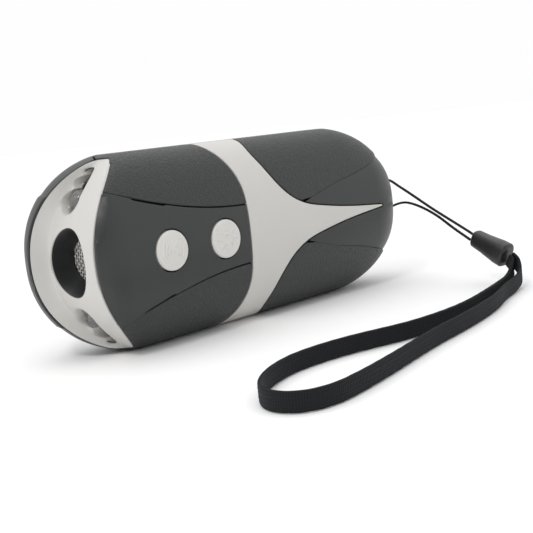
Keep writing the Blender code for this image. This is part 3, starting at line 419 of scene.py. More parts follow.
def upright(along):
    """The direction square to another that points up the most."""
    return (Vector((0.0, 0.0, 1.0)) - along * along.z).normalized()


# ---- the strap ----
def make_string(name, route, node):
    """A thin braided cord: a tube whose surface shows the braid's crossing strands."""
    line = even_steps([tuple(p) for p in smooth_line(route, ROUTE_STEPS)], STRING_STEP)
    points = []
    for k, place in enumerate(line):
        along = direction(line, k)
        side = along.cross(Vector((0.0, 0.0, 1.0))).normalized()
        top = side.cross(along)
        twist = 2.4 * k * STRING_STEP / PLAIT_LENGTH
        for j in range(STRING_SIDES):
            angle = 2 * math.pi * j / STRING_SIDES
            plait = math.sin(2 * angle + twist) * math.sin(2 * angle - twist)
            radius = STRING_RADIUS * (0.94 + 0.09 * plait)
            points.append(Vector(place) + (side * math.cos(angle) + top * math.sin(angle)) * radius)
    made = link_mesh(name, points, tube_faces(len(line), STRING_SIDES), "string", replaces=[node],
                     slot="strap_string", sharp=70.0)
    return made, line


def make_ribbon():
    """Woven tape on edge: five soft lengthwise ribs on each face and rounded selvedges."""
    line = even_steps([tuple(p) for p in smooth_line(RIBBON, ROUTE_STEPS)], RIBBON_STEP)
    half = RIBBON_WIDTH / 2
    section = []
    for side in (1, -1):
        for j in range(RIBBON_THREADS):
            s = (j + 0.5) / RIBBON_THREADS * 2 - 1
            edge = (1 - abs(s) ** 7) ** 0.5
            rib = 0.82 + 0.18 * abs(math.sin(math.pi * 2.5 * (s + 1)))
            section.append((-side * s * half, side * RIBBON_THICK / 2 * edge * rib))
    points = []
    for k, place in enumerate(line):
        along = direction(line, k)
        up = upright(along)
        across = along.cross(up)
        wobble = 0.015 * math.sin(k * 0.7)
        for a, b in section:
            points.append(Vector(place) + up * (a + wobble * a / half) + across * b)
    ring = len(section)
    made = link_mesh("ribbon_tape", points, tube_faces(len(line), ring), "ribbon",
                     replaces=["strap_ribbon"], slot="strap_ribbon", sharp=80.0)
    strip = made.data.uv_layers.new(name="strip")
    steps = [math.dist(p, q) for p, q in zip(section, section[1:])]
    girth = np.concatenate(([0.0], np.cumsum(steps)))
    for loop in made.data.loops:
        k, j = divmod(loop.vertex_index, ring)
        strip.data[loop.index].uv = (k * RIBBON_STEP, girth[j])
    return made, line


def make_slider():
    """The moulded bead that joins the strings to the ribbon."""
    start, end = (Vector(p) for p in SLIDER_ENDS)
    axis = (end - start).normalized()
    up = upright(axis)
    across = axis.cross(up)
    shares, sizes = zip(*SLIDER_PROFILE)
    length = (end - start).length
    sides, rings = 64, 60
    points = []
    for i in range(rings + 1):
        share = 0.5 - 0.5 * math.cos(math.pi * i / rings)
        size = float(np.interp(share, shares, sizes))
        into_lip = max(1 - min(share, 1 - share) * length / SLIDER_ROUNDING, 0.0)
        shrink = SLIDER_ROUNDING * (1 - math.sqrt(max(1 - into_lip ** 2, 0.0)))
        for k in range(sides):
            angle = 2 * math.pi * k / sides
            a, b = (math.copysign(abs(c) ** SLIDER_POWER, c) * (full / 2 * size - shrink)
                    for c, full in zip((math.cos(angle), math.sin(angle)), SLIDER_SIZE))
            points.append(start.lerp(end, share) + up * a + across * b)
    return link_mesh("slider_bead", points, tube_faces(rings + 1, sides), "slider",
                     replaces=["strap_slider"], slot="strap_slider", sharp=60.0)


def make_strap():
    """The slider, two strings and a ribbon that end in it."""
    slider = make_slider()
    string = 2 * STRING_RADIUS
    cords = [(*make_string("string_upper", UPPER_STRING, "strap_string_upper"), string, "hanging"),
             (*make_string("string_lower", LOWER_STRING, "strap_string_lower"), string, "hanging"),
             (*make_ribbon(), RIBBON_WIDTH, "loose")]
    for piece, line, diameter, lay in cords:
        line_length(line) * MM


# ---- the body's surface ----
def taper(x, end, inset):
    nose, tail, power = end
    over = np.maximum((NOSE_X + nose - x) / (nose - inset), (x - TAIL_X + tail) / (tail - inset))
    return np.maximum(1.0 - np.clip(over, 0.0, 1.0) ** power, 1e-12) ** (1.0 / power)


def half_width(x, inset=0.0):
    return (HALF_WIDTH - inset) * taper(x, WIDTH_END, inset)


def half_depth(x, inset=0.0):
    return (HALF_DEPTH - inset) * taper(x, DEPTH_END, inset)


def depth_at(x, height):
    share = np.minimum(np.abs(height) / half_width(x), 1.0)
    return half_depth(x) * (1.0 - share ** POWER) ** (1.0 / POWER)


def end_at(height, depth, end_x, middle_x):
    """x of the body's end surface (nose or tail) at a height and depth, by bisection."""
    outer = np.full(np.broadcast(height, depth).shape, float(end_x))
    inner = np.full(outer.shape, float(middle_x))
    for _ in range(44):
        middle = (outer + inner) / 2
        inside = depth_at(middle, height) > np.abs(depth)
        inner = np.where(inside, middle, inner)
        outer = np.where(inside, outer, middle)
    return inner


def nose_at(height, depth):
    return end_at(height, depth, NOSE_X, -20.0)


def tail_at(height, depth):
    return end_at(height, depth, TAIL_X, 20.0)


def nose_fade(x):
    """1 at the nose, falling to 0 at the star."""
    return np.clip((STAR_FRONT_X - x) / (STAR_FRONT_X - BEZEL_X), 0.0, 1.0)


def step_over(x):
    """Height of the front panel above its grips."""
    return FRONT_STEP * nose_fade(x)


def chart_point(x, height, depth):
    """Chart coordinates of a point on the body's surface."""
    x, height, depth = np.broadcast_arrays(np.asarray(x, float), height, depth)
    along = np.arccos(np.clip(1 - 2 * (x - NOSE_X) / LENGTH, -1, 1)) / math.pi
    turn = np.arctan2(height / half_width(x), depth / half_depth(x))
    return np.stack((along * SPAN, turn * AROUND), -1)


def body_surface(side, inset=0.0):
    """Surface function of the body seen from one side (-1 buttons, 1 cover)."""
    def place(chart):
        x = NOSE_X + inset + (LENGTH - 2 * inset) * (1 - np.cos(math.pi * chart[:, 0] / SPAN)) / 2
        s, c = np.sin(chart[:, 1] / AROUND), np.cos(chart[:, 1] / AROUND)
        size = (np.abs(s) ** POWER + np.abs(c) ** POWER) ** (1 / POWER)
        height = np.clip(half_width(x, inset) * s / size, inset - CENTRE_Z, CENTRE_Z - inset)
        return np.stack((x, side * half_depth(x, inset) * c / size, CENTRE_Z + height), -1)
    return place


def conformal(chart):
    """Chart coordinates on a plane that keeps angles, with the tail's end at its middle."""
    return np.exp(-np.interp(chart[:, 0], *MERCATOR))[:, None] * np.stack(
        (np.cos(chart[:, 1] / AROUND), np.sin(chart[:, 1] / AROUND)), -1)


def mercator_table():
    at = np.linspace(0.0, SPAN, 1500)
    x = NOSE_X + LENGTH * (1 - np.cos(math.pi * at / SPAN)) / 2
    radius = (half_width(x) + half_depth(x)) / 2
    run = np.hypot(np.diff(x), np.diff(radius)) / np.maximum((radius[1:] + radius[:-1]) / 2, 0.05)
    total = np.concatenate(([0.0], np.cumsum(run)))
    return at, total - total[-1] / 2


MERCATOR = mercator_table()


def inside_loop(points, loop):
    """Which points lie inside a closed loop, by counting crossings."""
    found = np.zeros(len(points), bool)
    x, y = points[:, 0], points[:, 1]
    for (x0, y0), (x1, y1) in zip(loop, np.roll(loop, -1, axis=0)):
        if y0 == y1:
            continue
        crosses = (y0 > y) != (y1 > y)
        found ^= crosses & (x < (x1 - x0) * (y - y0) / (y1 - y0) + x0)
    return found


def surface_frame(place, chart, size=0.02):
    """Points, two tangents and the unit normal at chart points."""
    points = place(chart)
    step_a, step_b = np.array([size, 0.0]), np.array([0.0, size])
    along = (place(chart + step_a) - place(chart - step_a)) / (2 * size)
    around = (place(chart + step_b) - place(chart - step_b)) / (2 * size)
    normal = np.cross(along, around)
    normal /= np.maximum(np.linalg.norm(normal, axis=1), 1e-12)[:, None]
    return points, along, around, normal


RING_SHARES = (0.15, 0.35, 0.6, 0.85, 1.15, 1.7)  # of the edge's radius
BORDER_STEP = 0.06
ROW_HEIGHT = 0.866
RING_CELL = 0.035
COARSE_AWAY, COARSE_EVERY = 3.0, 7


def value_at(value, points):
    """A value at each point, from a number or from a function of the points."""
    return value(points) if callable(value) else np.full(len(points), value)


def rows_dot(first, second):
    return np.einsum("ij,ij->i", first, second)


def inward_shift(place, loop):
    """Chart step from each point of a loop that moves it sideways by 1 mm on the surface."""
    points, along, around, normal = surface_frame(place, loop)
    tangent = np.roll(points, -1, axis=0) - np.roll(points, 1, axis=0)
    inward = np.cross(normal, tangent)
    inward /= np.maximum(np.linalg.norm(inward, axis=1), 1e-9)[:, None]
    return points, np.stack([rows_dot(inward, step) / np.maximum(rows_dot(step, step), 1e-9)
                             for step in (along, around)], -1)


def staggered_grid(x0, y0, x1, y1, step):
    """Points of a triangular grid over a rectangle of the chart."""
    xs, ys = np.arange(x0, x1, step), np.arange(y0, y1, step * ROW_HEIGHT)
    grid = np.stack(np.meshgrid(xs, ys), -1).reshape(-1, 2)
    grid[:, 0] += (np.floor((grid[:, 1] - y0) / (step * ROW_HEIGHT) + 0.5) % 2) * step / 2
    return grid


def patch(name, look, place, loops, out, thick=1.0, radius=0.25, lift=0.0, pitch=1.0, spacing=0.3,
          fine=(), lines=(), chart_map=None, down=None, **placing):
    """A closed piece of shell cut from a surface along loops (the first outside, the rest holes),
    with rounded edges. `out` is +1 or -1 so that the surface's normal points outwards. `fine` has
    rectangles with a closer pitch, and `lines` has rows of points that the mesh follows. `down`
    turns the directions in which the edges and the wall go down from the surface."""
    loops = [even_loop(place, loop, spacing) for loop in loops]
    border = np.vstack(loops)
    dense_points = place(np.vstack([even_loop(place, loop, BORDER_STEP) for loop in loops]))
    tree = KDTree(len(dense_points))
    for k, point in enumerate(dense_points):
        tree.insert(point, k)
    tree.balance()
    radii = value_at(radius, dense_points)

    def nearest(chart):
        """Distance to the border and the border's edge radius there."""
        found = [tree.find(p)[1:] for p in place(chart)]
        return np.array([f[1] for f in found]), np.array([radii[f[0]] for f in found])

    def within(chart):
        kept = inside_loop(chart, loops[0])
        for loop in loops[1:]:
            kept &= ~inside_loop(chart, loop)
        return kept

    def sides(chart):
        """Points, outward normals and the directions in which the wall goes down."""
        points, _, _, normal = surface_frame(place, chart)
        normal *= out
        return points, normal, down(points, -normal) if down else -normal

    candidates = []
    for share in RING_SHARES:
        for loop in loops:
            points, shift = inward_shift(place, loop)
            reach = share * value_at(radius, points)
            for sign in (1, -1):
                moved = loop + sign * shift * reach[:, None]
                kept = moved[within(moved)]
                if len(kept):
                    away, near_radius = nearest(kept)
                    candidates.append(kept[away > 0.9 * share * near_radius])
    for line in lines:
        kept = line[within(line)]
        candidates.append(kept[nearest(kept)[0] > 0.12] if len(kept) else kept)
    low, high = border.min(axis=0), border.max(axis=0)
    for area in [*fine, (*low, *high, pitch)]:
        grid = staggered_grid(*area)
        grid = grid[within(grid)]
        away, near_radius = nearest(grid)
        candidates.append(grid[away > np.maximum(2.1 * near_radius, 0.2)])
    coarse = grid[away > COARSE_AWAY][::COARSE_EVERY]
    cell = min([0.35 * pitch, *[0.6 * f[4] for f in fine]])
    inner, taken = [], set()
    for kept, size in [(np.vstack(candidates[:-1]), RING_CELL), (candidates[-1], cell)]:
        for point, key in zip(kept, map(tuple, np.floor(place(kept) / size).astype(int))):
            if (size, key) not in taken:
                taken.add((size, key))
                inner.append(point)
    chart = np.vstack((border, np.array(inner).reshape(-1, 2)))
    low_chart = np.vstack((border, coarse))
    top, bottom = (triangles(c, loops, within, chart_map) for c in (chart, low_chart))

    points, normal, inwards = sides(chart)
    away, near_radius = nearest(chart)
    away[:len(border)] = 0.0
    over_edge = np.maximum(near_radius - away, 0.0)
    drop = near_radius - np.sqrt(np.maximum(near_radius ** 2 - over_edge ** 2, 0.0))
    surface = points + normal * value_at(lift, points)[:, None] + inwards * drop[:, None]
    points, _, inwards = sides(low_chart)
    under = points + inwards * value_at(thick, points)[:, None]
    count = len(chart)
    faces = [tuple(f) for f in top] + [tuple(count + v for v in reversed(f)) for f in bottom]
    start = 0
    for loop in loops:
        for k in range(len(loop)):
            n = start + (k + 1) % len(loop)
            faces.append((start + k, n, count + n, count + start + k))
        start += len(loop)
    return link_mesh(name, np.vstack((surface, under)), faces, look, **placing)


def even_loop(place, loop, spacing):
    """A closed chart loop again with points an even real distance apart."""
    loop = np.asarray(loop, float)
    around = np.vstack((loop, loop[:1]))
    fine = np.vstack([a + (b - a) * np.linspace(0, 1, 7)[:-1, None] for a, b in zip(around, around[1:])]
                     + [around[-1:]])
    run = np.concatenate(([0.0], np.cumsum(np.linalg.norm(np.diff(place(fine), axis=0), axis=1))))
    count = max(int(round(run[-1] / spacing)), 12)
    at = np.linspace(0.0, run[-1], count + 1)[:-1]
    return np.stack((np.interp(at, run, fine[:, 0]), np.interp(at, run, fine[:, 1])), -1)


def triangles(chart, loops, within, chart_map):
    """Triangles of the chart points that lie inside the loops, with the loops as edges."""
    plane = chart_map(chart) if chart_map else chart
    edges, start = [], 0
    for loop in loops:
        edges += [(start + k, start + (k + 1) % len(loop)) for k in range(len(loop))]
        start += len(loop)
    made = delaunay_2d_cdt([Vector(p) for p in plane], edges, [], 0, 1e-9)
    if len(made[0]) != len(chart):
        raise ValueError(f"crossing edges: {len(chart)} points became {len(made[0])}")
    faces = np.array(made[2])
    middles = chart[faces].mean(axis=1)
    return faces[within(middles)]


# ---- outlines of the body's pieces, in chart coordinates ----
def seam_height(x):
    share = np.maximum((STAR_FRONT_X - np.asarray(x, float)) / SEAM_RUN, 0.0)
    return SEAM_LOW + SEAM_RISE * share ** SEAM_POWER


def star_front(height):
    curl = np.maximum(np.abs(height) - STAR_FLAT, 0.0) / STAR_RUN
    return STAR_FRONT_X - STAR_CURL * curl ** STAR_POWER


def plate_x(height):
    return BEZEL_X + PLATE_CURL * (np.abs(height) / PLATE_RUN) ** PLATE_POWER


def bezel_back(height):
    """Depth of the bezel's back-side edge; positive is the button side."""
    return BEZEL_BACK + BEZEL_BACK_RISE * (np.abs(height) / BEZEL_TIP) ** 3


def soft_step(share):
    return share * share * (3 - 2 * share)


def whole_turn(sides):
    return np.linspace(0, 2 * math.pi, sides, endpoint=False)


def flat_line(points, steps=4):
    return np.array([(p.x, p.y) for p in smooth_line([(x, z, 0.0) for x, z in points], steps)])


def shifted(line, distance):
    """The flat line moved to its left by a distance."""
    step = np.gradient(line, axis=0)
    step /= np.linalg.norm(step, axis=1)[:, None]
    return line + distance * np.stack((-step[:, 1], step[:, 0]), -1)


def on_face(x, height):
    x, height = np.broadcast_arrays(np.asarray(x, float), np.asarray(height, float))
    return chart_point(x, height, depth_at(x, height))


def parting(x_from, x_to, count=60):
    """The edge of one half of the body, beside its middle plane."""
    x = np.linspace(x_from, x_to, count)
    height = half_width(x) * (1 - (HALF_GAP / half_depth(x)) ** POWER) ** (1 / POWER)
    return chart_point(x, height, HALF_GAP)


def tail_edge(x_from, count=70):
    """The edge of one half of the body from x_from above, round the tail, to x_from below."""
    wide, deep = float(half_width(x_from)), float(half_depth(x_from))
    height_from = wide * (1 - (HALF_GAP / deep) ** POWER) ** (1 / POWER)
    turn = math.atan2(height_from / wide, HALF_GAP / deep)
    turns = turn * np.sin(np.linspace(math.pi / 2, -math.pi / 2, count))
    s, c = np.sin(turns), np.cos(turns)
    share = c / (np.abs(s) ** POWER + np.abs(c) ** POWER) ** (1 / POWER)
    wanted = np.clip(HALF_GAP / share / HALF_DEPTH, 0.0, 1.0)
    _, tail, power = DEPTH_END
    x = np.maximum(TAIL_X - tail + tail * (1 - wanted ** power) ** (1 / power), x_from)
    x = np.where(wanted >= 1.0, x_from, x)
    along = np.arccos(1 - 2 * (x - NOSE_X) / LENGTH) / math.pi
    return np.stack((along * SPAN, turns * AROUND), -1)


def flip(line):
    """The line mirrored below the body's middle height, and turned round."""
    return line[::-1] * (1.0, -1.0)


def bezel_side(heights, gap):
    """The panels' edge beside the bezel."""
    return on_face(plate_x(heights) + gap, heights)


def seam_meets_bezel(shift):
    height = 15.0
    for _ in range(30):
        height = float(seam_height(plate_x(height) + GAP)) + shift
    return height


def make_front_panel():
    corner = seam_meets_bezel(-HALF_GAP)
    star_corner = float(seam_height(STAR_FRONT_X)) - HALF_GAP
    seam_x = np.linspace(float(plate_x(corner)) + GAP, STAR_FRONT_X - HALF_GAP, 60)
    widening = slot_widening(seam_x)
    seam = on_face(seam_x, seam_height(seam_x) - HALF_GAP - widening)
    heights = np.linspace(star_corner, -star_corner, 30)
    star = on_face(star_front(heights) - HALF_GAP, heights)
    nose = bezel_side(np.linspace(-corner, corner, 60), GAP)
    outer = np.vstack((nose[:-1], seam[:-1], star[:-1], flip(seam)[:-1]))
    turns = whole_turn(96)
    holes = [on_face(x + BUTTON_HOLE * np.cos(turns), BUTTON_HOLE * np.sin(turns))
             for x in BUTTON_XS.values()]
    patch("front_panel_skin", "panel", body_surface(-1), [outer, *holes], 1, SHELL_THICK,
          panel_radius, lambda p: step_over(p[:, 0]), replaces=["front_panel"], slot="smooth_shell")


def slot_widening(x):
    """Extra width of the seam along its narrow slot behind the bezel."""
    return 0.34 * np.clip(np.minimum(x + 44.2, -34.8 - x) / 0.2, 0.0, 1.0)


def panel_radius(points):
    """Larger rounding at the front panel's nose end than along its seams."""
    height = points[:, 2] - CENTRE_Z
    nose = np.clip((plate_x(height) + 1.0 - points[:, 0]) / 0.5, 0.0, 1.0)
    return 0.25 + 0.55 * nose


def tip_corner(gap):
    """The two corners of the bezel's blunt tip, moved out by a gap."""
    height = BEZEL_TIP + gap
    back = float(bezel_back(BEZEL_TIP))
    x_face = float(plate_x(BEZEL_TIP)) + gap
    x_back = float(nose_at(height, back))
    return on_face([x_face], [height]), (x_back, height, back)


def grip_pair(name, outer, radius, **options):
    """A grained piece above the body's middle height, and its mirror image below."""
    for word, loop in (("upper", outer), ("lower", flip(outer))):
        patch(f"{name}_skin_{word}", "grip", body_surface(-1), [loop], 1, SHELL_THICK, radius,
              replaces=[f"{name}_{word}"], slot="grained_grip", **options)


def make_front_grips():
    low = seam_meets_bezel(HALF_GAP)
    face_corner, (x_back, height, back) = tip_corner(HALF_GAP)
    nose = bezel_side(np.linspace(low, BEZEL_TIP, 50), GAP)
    tip = np.vstack((face_corner, chart_point([x_back], height, back)))
    x_star = float(star_front(HALF_WIDTH)) - HALF_GAP
    edge = parting(x_back + 1.4, x_star)
    heights = np.linspace(OUTLINE_TOP, float(seam_height(STAR_FRONT_X)) + HALF_GAP, 40)
    star = on_face(star_front(heights) - HALF_GAP, heights)
    seam_x = np.linspace(STAR_FRONT_X - HALF_GAP, float(plate_x(low)) + GAP, 60)
    seam = on_face(seam_x, seam_height(seam_x) + HALF_GAP)
    grip_pair("front_grip", np.vstack((nose, tip, edge, star, seam[1:-1])), 0.28)


def groove_end():
    """Where the rear groove reaches the body's silhouette."""
    line = flat_line(GROOVE)
    over = line[:, 1] - half_width(line[:, 0])
    k = int(np.argmax(over > 0))
    share = over[k - 1] / (over[k - 1] - over[k])
    return line[k - 1] + (line[k] - line[k - 1]) * share


def make_star_and_rear():
    """The star-shaped band, the two rear grips and the rear panel between them."""
    groove = flat_line(GROOVE)
    end_x = float(groove_end()[0])
    inside_star, outside_star = (shifted(flat_line(STAR_REAR), side) for side in (-HALF_GAP, HALF_GAP))
    inside_star = inside_star[inside_star[:, 1] < OUTLINE_TOP]
    outside_star = outside_star[outside_star[:, 1] < OUTLINE_TOP]

    heights = np.linspace(-OUTLINE_TOP, OUTLINE_TOP, 90)
    front = on_face(star_front(heights) + HALF_GAP, heights)
    top_edge = parting(float(star_front(HALF_WIDTH)) + HALF_GAP, -HALF_GAP, 12)
    arm = on_face(inside_star[:, 0], np.maximum(inside_star[:, 1], 0.02))
    outer = np.vstack((front, top_edge, arm, on_face([45.6], [0.0]), flip(arm), flip(top_edge)))
    patch("star_band_skin", "trim", body_surface(-1), [outer], 1, SHELL_THICK, 0.22, spacing=0.25,
          replaces=["face_inlay"], slot="light_trim")

    def radius(points, most=0.28):
        """The edges' radius, smaller beside the grooves and smallest where they leave the star."""
        height = np.abs(points[:, 2] - CENTRE_Z)
        near = np.abs(height - np.interp(points[:, 0], groove[:, 0], groove[:, 1])) < 0.3
        at_groove = np.minimum(0.03 + 0.2 * groove_fade(points[:, 0]), most)
        return np.where(near & (points[:, 0] > 12.0), at_groove, 0.28)

    rear_edge = outside_star[outside_star[:, 0] < 12.3]
    above = shifted(groove, GROOVE_GAP)
    above = above[(above[:, 0] > 12.5) & (above[:, 0] < end_x - 0.4)]
    outer = np.vstack((on_face(*rear_edge.T), on_face(*above.T), parting(end_x, HALF_GAP)))
    grip_pair("rear_grip", outer, radius, chart_map=conformal)

    arm = outside_star[outside_star[:, 0] > 12.7]
    below = shifted(groove, -GROOVE_GAP)
    below = below[(below[:, 0] > 12.9) & (below[:, 0] < end_x - 0.2)]
    arm_chart = on_face(arm[:, 0], np.maximum(arm[:, 1], 0.02))
    wing = on_face(*below.T)
    outer = np.vstack((wing, tail_edge(end_x + 0.35), flip(wing), arm_chart * (1.0, -1.0),
                       on_face([46.0], [0.0]), arm_chart[::-1]))
    patch("rear_panel_skin", "panel", body_surface(-1), [outer], 1, 0.8, lambda p: radius(p, 0.05),
          lambda p: -0.45 * groove_fade(p[:, 0]) * groove_side(p, groove),
          replaces=["rear_panel"], slot="smooth_shell", chart_map=conformal)


def groove_fade(x):
    """0 at the star's arm, rising to 1 at the tail."""
    return soft_step(np.clip((x - 22.0) / 30.0, 0.0, 1.0))


def groove_side(points, groove):
    """1 at the groove, falling to 0 towards the middle of the rear panel."""
    height = np.abs(points[:, 2] - CENTRE_Z)
    across = height / np.interp(points[:, 0], groove[:, 0], groove[:, 1])
    share = np.clip(across * 1.6 - 0.6, 0.0, 1.0)
    return share * share


def cover_loop(grow):
    """The battery cover's outline on the back, grown by a gap."""
    half, low_y, front = STRIP_HALF + grow, COVER_LOW_Y - grow, COVER_FRONT_X - grow
    rear_x = float(tail_at(half, low_y))
    x = np.linspace(front, rear_x, 80)
    side = on_face(x, half)
    heights = np.linspace(half, -half, 50)
    rear = chart_point(tail_at(heights, low_y), heights, low_y)
    nose = on_face(front, np.linspace(-half, half, 40))
    return np.vstack((nose[:-1], side[:-1], rear[:-1], flip(side)[:-1]))


def strip_step(points):
    """The back strip stands above the shell beside it, with a soft edge."""
    height = np.abs(points[:, 2] - CENTRE_Z)
    edge = np.clip((STRIP_HALF + 0.25 - height) / 0.5, 0.0, 1.0)
    return BACK_STEP * nose_fade(points[:, 0]) * soft_step(edge)


def make_back_shell():
    _, (x_back, height, back) = tip_corner(HALF_GAP)
    tip = chart_point([x_back - 0.3], height, HALF_GAP - back)
    edge = parting(x_back + 1.1, 33.0)
    tail = tail_edge(33.5, count=160)
    heights = BEZEL_TIP * np.sin(np.linspace(-math.pi / 2, math.pi / 2, 120))
    depths = bezel_back(heights) - HALF_GAP
    rim = chart_point(nose_at(heights, depths), heights, -depths)
    outer = np.vstack((tip, edge, tail, flip(edge), flip(tip), rim))
    turns = whole_turn(40)
    holes = [cover_loop(HALF_GAP)]
    for x, z in SCREW_PLACES:
        holes.append(on_face(x + SCREW_HOLE * np.cos(turns), z + SCREW_HOLE * np.sin(turns)))
    for y, z in STRAP_HOLES:
        hole_y, hole_z = y + STRAP_HOLE * np.cos(turns), z + STRAP_HOLE * np.sin(turns)
        holes.append(chart_point(tail_at(hole_z, hole_y), hole_z, hole_y))

    def down(points, inwards):
        """Screw wells run straight in, and strap holes straight forward."""
        turned = inwards.copy()
        for x, z in SCREW_PLACES:
            near = np.hypot(points[:, 0] - x, points[:, 2] - CENTRE_Z - z) < SCREW_HOLE + 0.3
            turned[near] = (0.0, -1.0, 0.0)
        for y, z in STRAP_HOLES:
            near = np.hypot(points[:, 1] - y, points[:, 2] - CENTRE_Z - z) < STRAP_HOLE + 0.1
            turned[near & (points[:, 0] > 50)] = (-1.0, 0.0, 0.0)
        return turned

    def radius(points):
        """Smaller edges at the strap holes."""
        small = (points[:, 0] > 58.0) & (np.abs(points[:, 1] - 1.6) < 1.0)
        return np.where(small & (np.abs(np.abs(points[:, 2] - CENTRE_Z) - 4.5) < 1.0), 0.15, 0.25)

    lines = []
    x = np.arange(-61.0, -8.0, 0.4)
    for side in (1, -1):
        for off in (-0.45, -0.25, -0.12, 0.0, 0.12, 0.25, 0.45):
            lines.append(on_face(x, side * (STRIP_HALF + off)))
    patch("back_shell_skin", "back", body_surface(1), [outer, *holes], -1, 1.7, radius, strip_step,
          chart_map=conformal, lines=lines, down=down, pitch=1.3, replaces=["back_shell"],
          slot="smooth_shell")
    ends = np.linspace(SEAT_HALF, -SEAT_HALF, 40)
    seat_x = np.linspace(SEAT_X, float(tail_at(SEAT_HALF, SEAT_Y)), 50)
    seat = np.vstack((on_face(SEAT_X, np.linspace(-SEAT_HALF, SEAT_HALF, 20))[:-1],
                      on_face(seat_x, SEAT_HALF)[:-1],
                      chart_point(tail_at(ends, SEAT_Y), ends, SEAT_Y)[:-1],
                      flip(on_face(seat_x, SEAT_HALF))[:-1]))
    bay_x, bay_z = np.linspace(*BAY_X, 40), np.linspace(-BAY_HALF, BAY_HALF, 20)
    bay = np.vstack((on_face(bay_x, -BAY_HALF)[:-1], on_face(BAY_X[1], bay_z)[:-1],
                     on_face(bay_x[::-1], BAY_HALF)[:-1], on_face(BAY_X[0], bay_z[::-1])[:-1]))
    patch("cover_seat", "back", body_surface(1, 1.8), [seat, bay], -1, 1.2, 0.15, pitch=2.5,
          spacing=0.6, slot="smooth_shell", chart_map=conformal)
    for k, (x, z) in enumerate(SCREW_PLACES, 1):
        top = float(depth_at(x, abs(z) + 2.3)) - 0.4
        profile = [(top, 2.07), (top, 2.6), (8.4, 2.6), (8.4, 1.4), (9.4, 1.4), (9.4, 2.07)]
        revolve(f"screw_well_{k}", "back", profile, (x, 0.0, CENTRE_Z + z), "Y", slot="smooth_shell")


def rib_lift(points):
    """Five low finger ribs near the cover's front end."""
    x, height = points[:, 0], np.abs(points[:, 2] - CENTRE_Z)
    lift = np.zeros(len(points))
    for k in range(5):
        centre = COVER_FRONT_X + 4.6 + 2.6 * k
        across = np.clip((0.72 - np.abs(x - centre)) / 0.45, 0.0, 1.0)
        along = np.clip((6.15 - height) / 0.5, 0.0, 1.0)
        both = np.minimum(across, along)
        lift = np.maximum(lift, 0.85 * soft_step(both))
    return lift


def make_cover():
    low = on_face(np.array([-6.0, 7.0]), 0.0)
    edge = on_face(0.0, 7.2)[..., 1].max()
    fine = [(low[0, 0], -edge, low[1, 0], edge, 0.22)]
    patch("battery_cover_skin", "back", body_surface(1), [cover_loop(-HALF_GAP)], -1, 1.45, 0.3, rib_lift,
          chart_map=conformal, pitch=1.2, fine=fine, body="battery_cover", replaces=["battery_cover"],
          slot="smooth_shell")


# ---- bezel, horn and lamps ----
def bezel_front(height, depth):
    """A slightly tilted plate with a flare up to the rim of the back shell."""
    edge = bezel_back(height) + HALF_GAP
    plate = plate_x(height)
    flat = plate - TILT * np.maximum(depth_at(plate, height) - depth, 0.0)
    share = np.clip((edge + FLARE - depth) / FLARE, 0.0, 1.0)
    return flat + (nose_at(height, edge) - flat) * share ** FLARE_POWER


def bezel_surface(chart):
    depth, height = chart[:, 0], np.clip(chart[:, 1], -BEZEL_TIP, BEZEL_TIP)
    return np.stack((bezel_front(height, depth), -depth, CENTRE_Z + chart[:, 1]), -1)


def teardrop(grow, side):
    """A lamp slot as (y, height): a smooth edge on the face side, three scallops on the other."""
    lamp = np.array([LAMP_Y, LAMP_Z])
    reach = math.hypot(SLOT_TIP[0] - LAMP_Y, SLOT_TIP[1] - LAMP_Z)
    axis = np.array([SLOT_TIP[0] - LAMP_Y, SLOT_TIP[1] - LAMP_Z]) / reach
    to_face = np.array([-axis[1], axis[0]])
    widest = LAMP_LOBES[0][1] + grow
    t = np.concatenate((-np.cos(np.linspace(0, math.pi / 2, 16)) * widest,
                        np.linspace(0.1, SLOT_REACH + grow, 60)))
    bumps = np.max([np.sqrt(np.maximum((r + grow) ** 2 - (t - at) ** 2, 0.0)) for at, r in LAMP_LOBES],
                   axis=0)
    along = np.maximum(t, 0.0) / (SLOT_HULL + grow)
    hull = np.where(t < HULL_FROM, bumps, widest * np.sqrt(np.maximum(1 - along ** HULL_POWER, 0.0)))
    near = [lamp + axis * a + to_face * b for a, b in zip(t, hull)]
    far = [lamp + axis * a - to_face * b for a, b in zip(t, bumps)]
    loop = np.array(far[1:][::-1] + near)
    moved = np.linalg.norm(np.diff(loop, axis=0), axis=1) > 0.02
    return loop[np.concatenate(([True], moved))] * (1.0, side)


def soften(loop, rounds):
    for _ in range(rounds):
        loop = 0.5 * loop + 0.25 * (np.roll(loop, 1, axis=0) + np.roll(loop, -1, axis=0))
    return loop


def ellipse(centre, half_y, half_z, sides=120):
    angles = whole_turn(sides)
    return np.stack((centre + half_y * np.cos(angles), half_z * np.sin(angles)), -1)


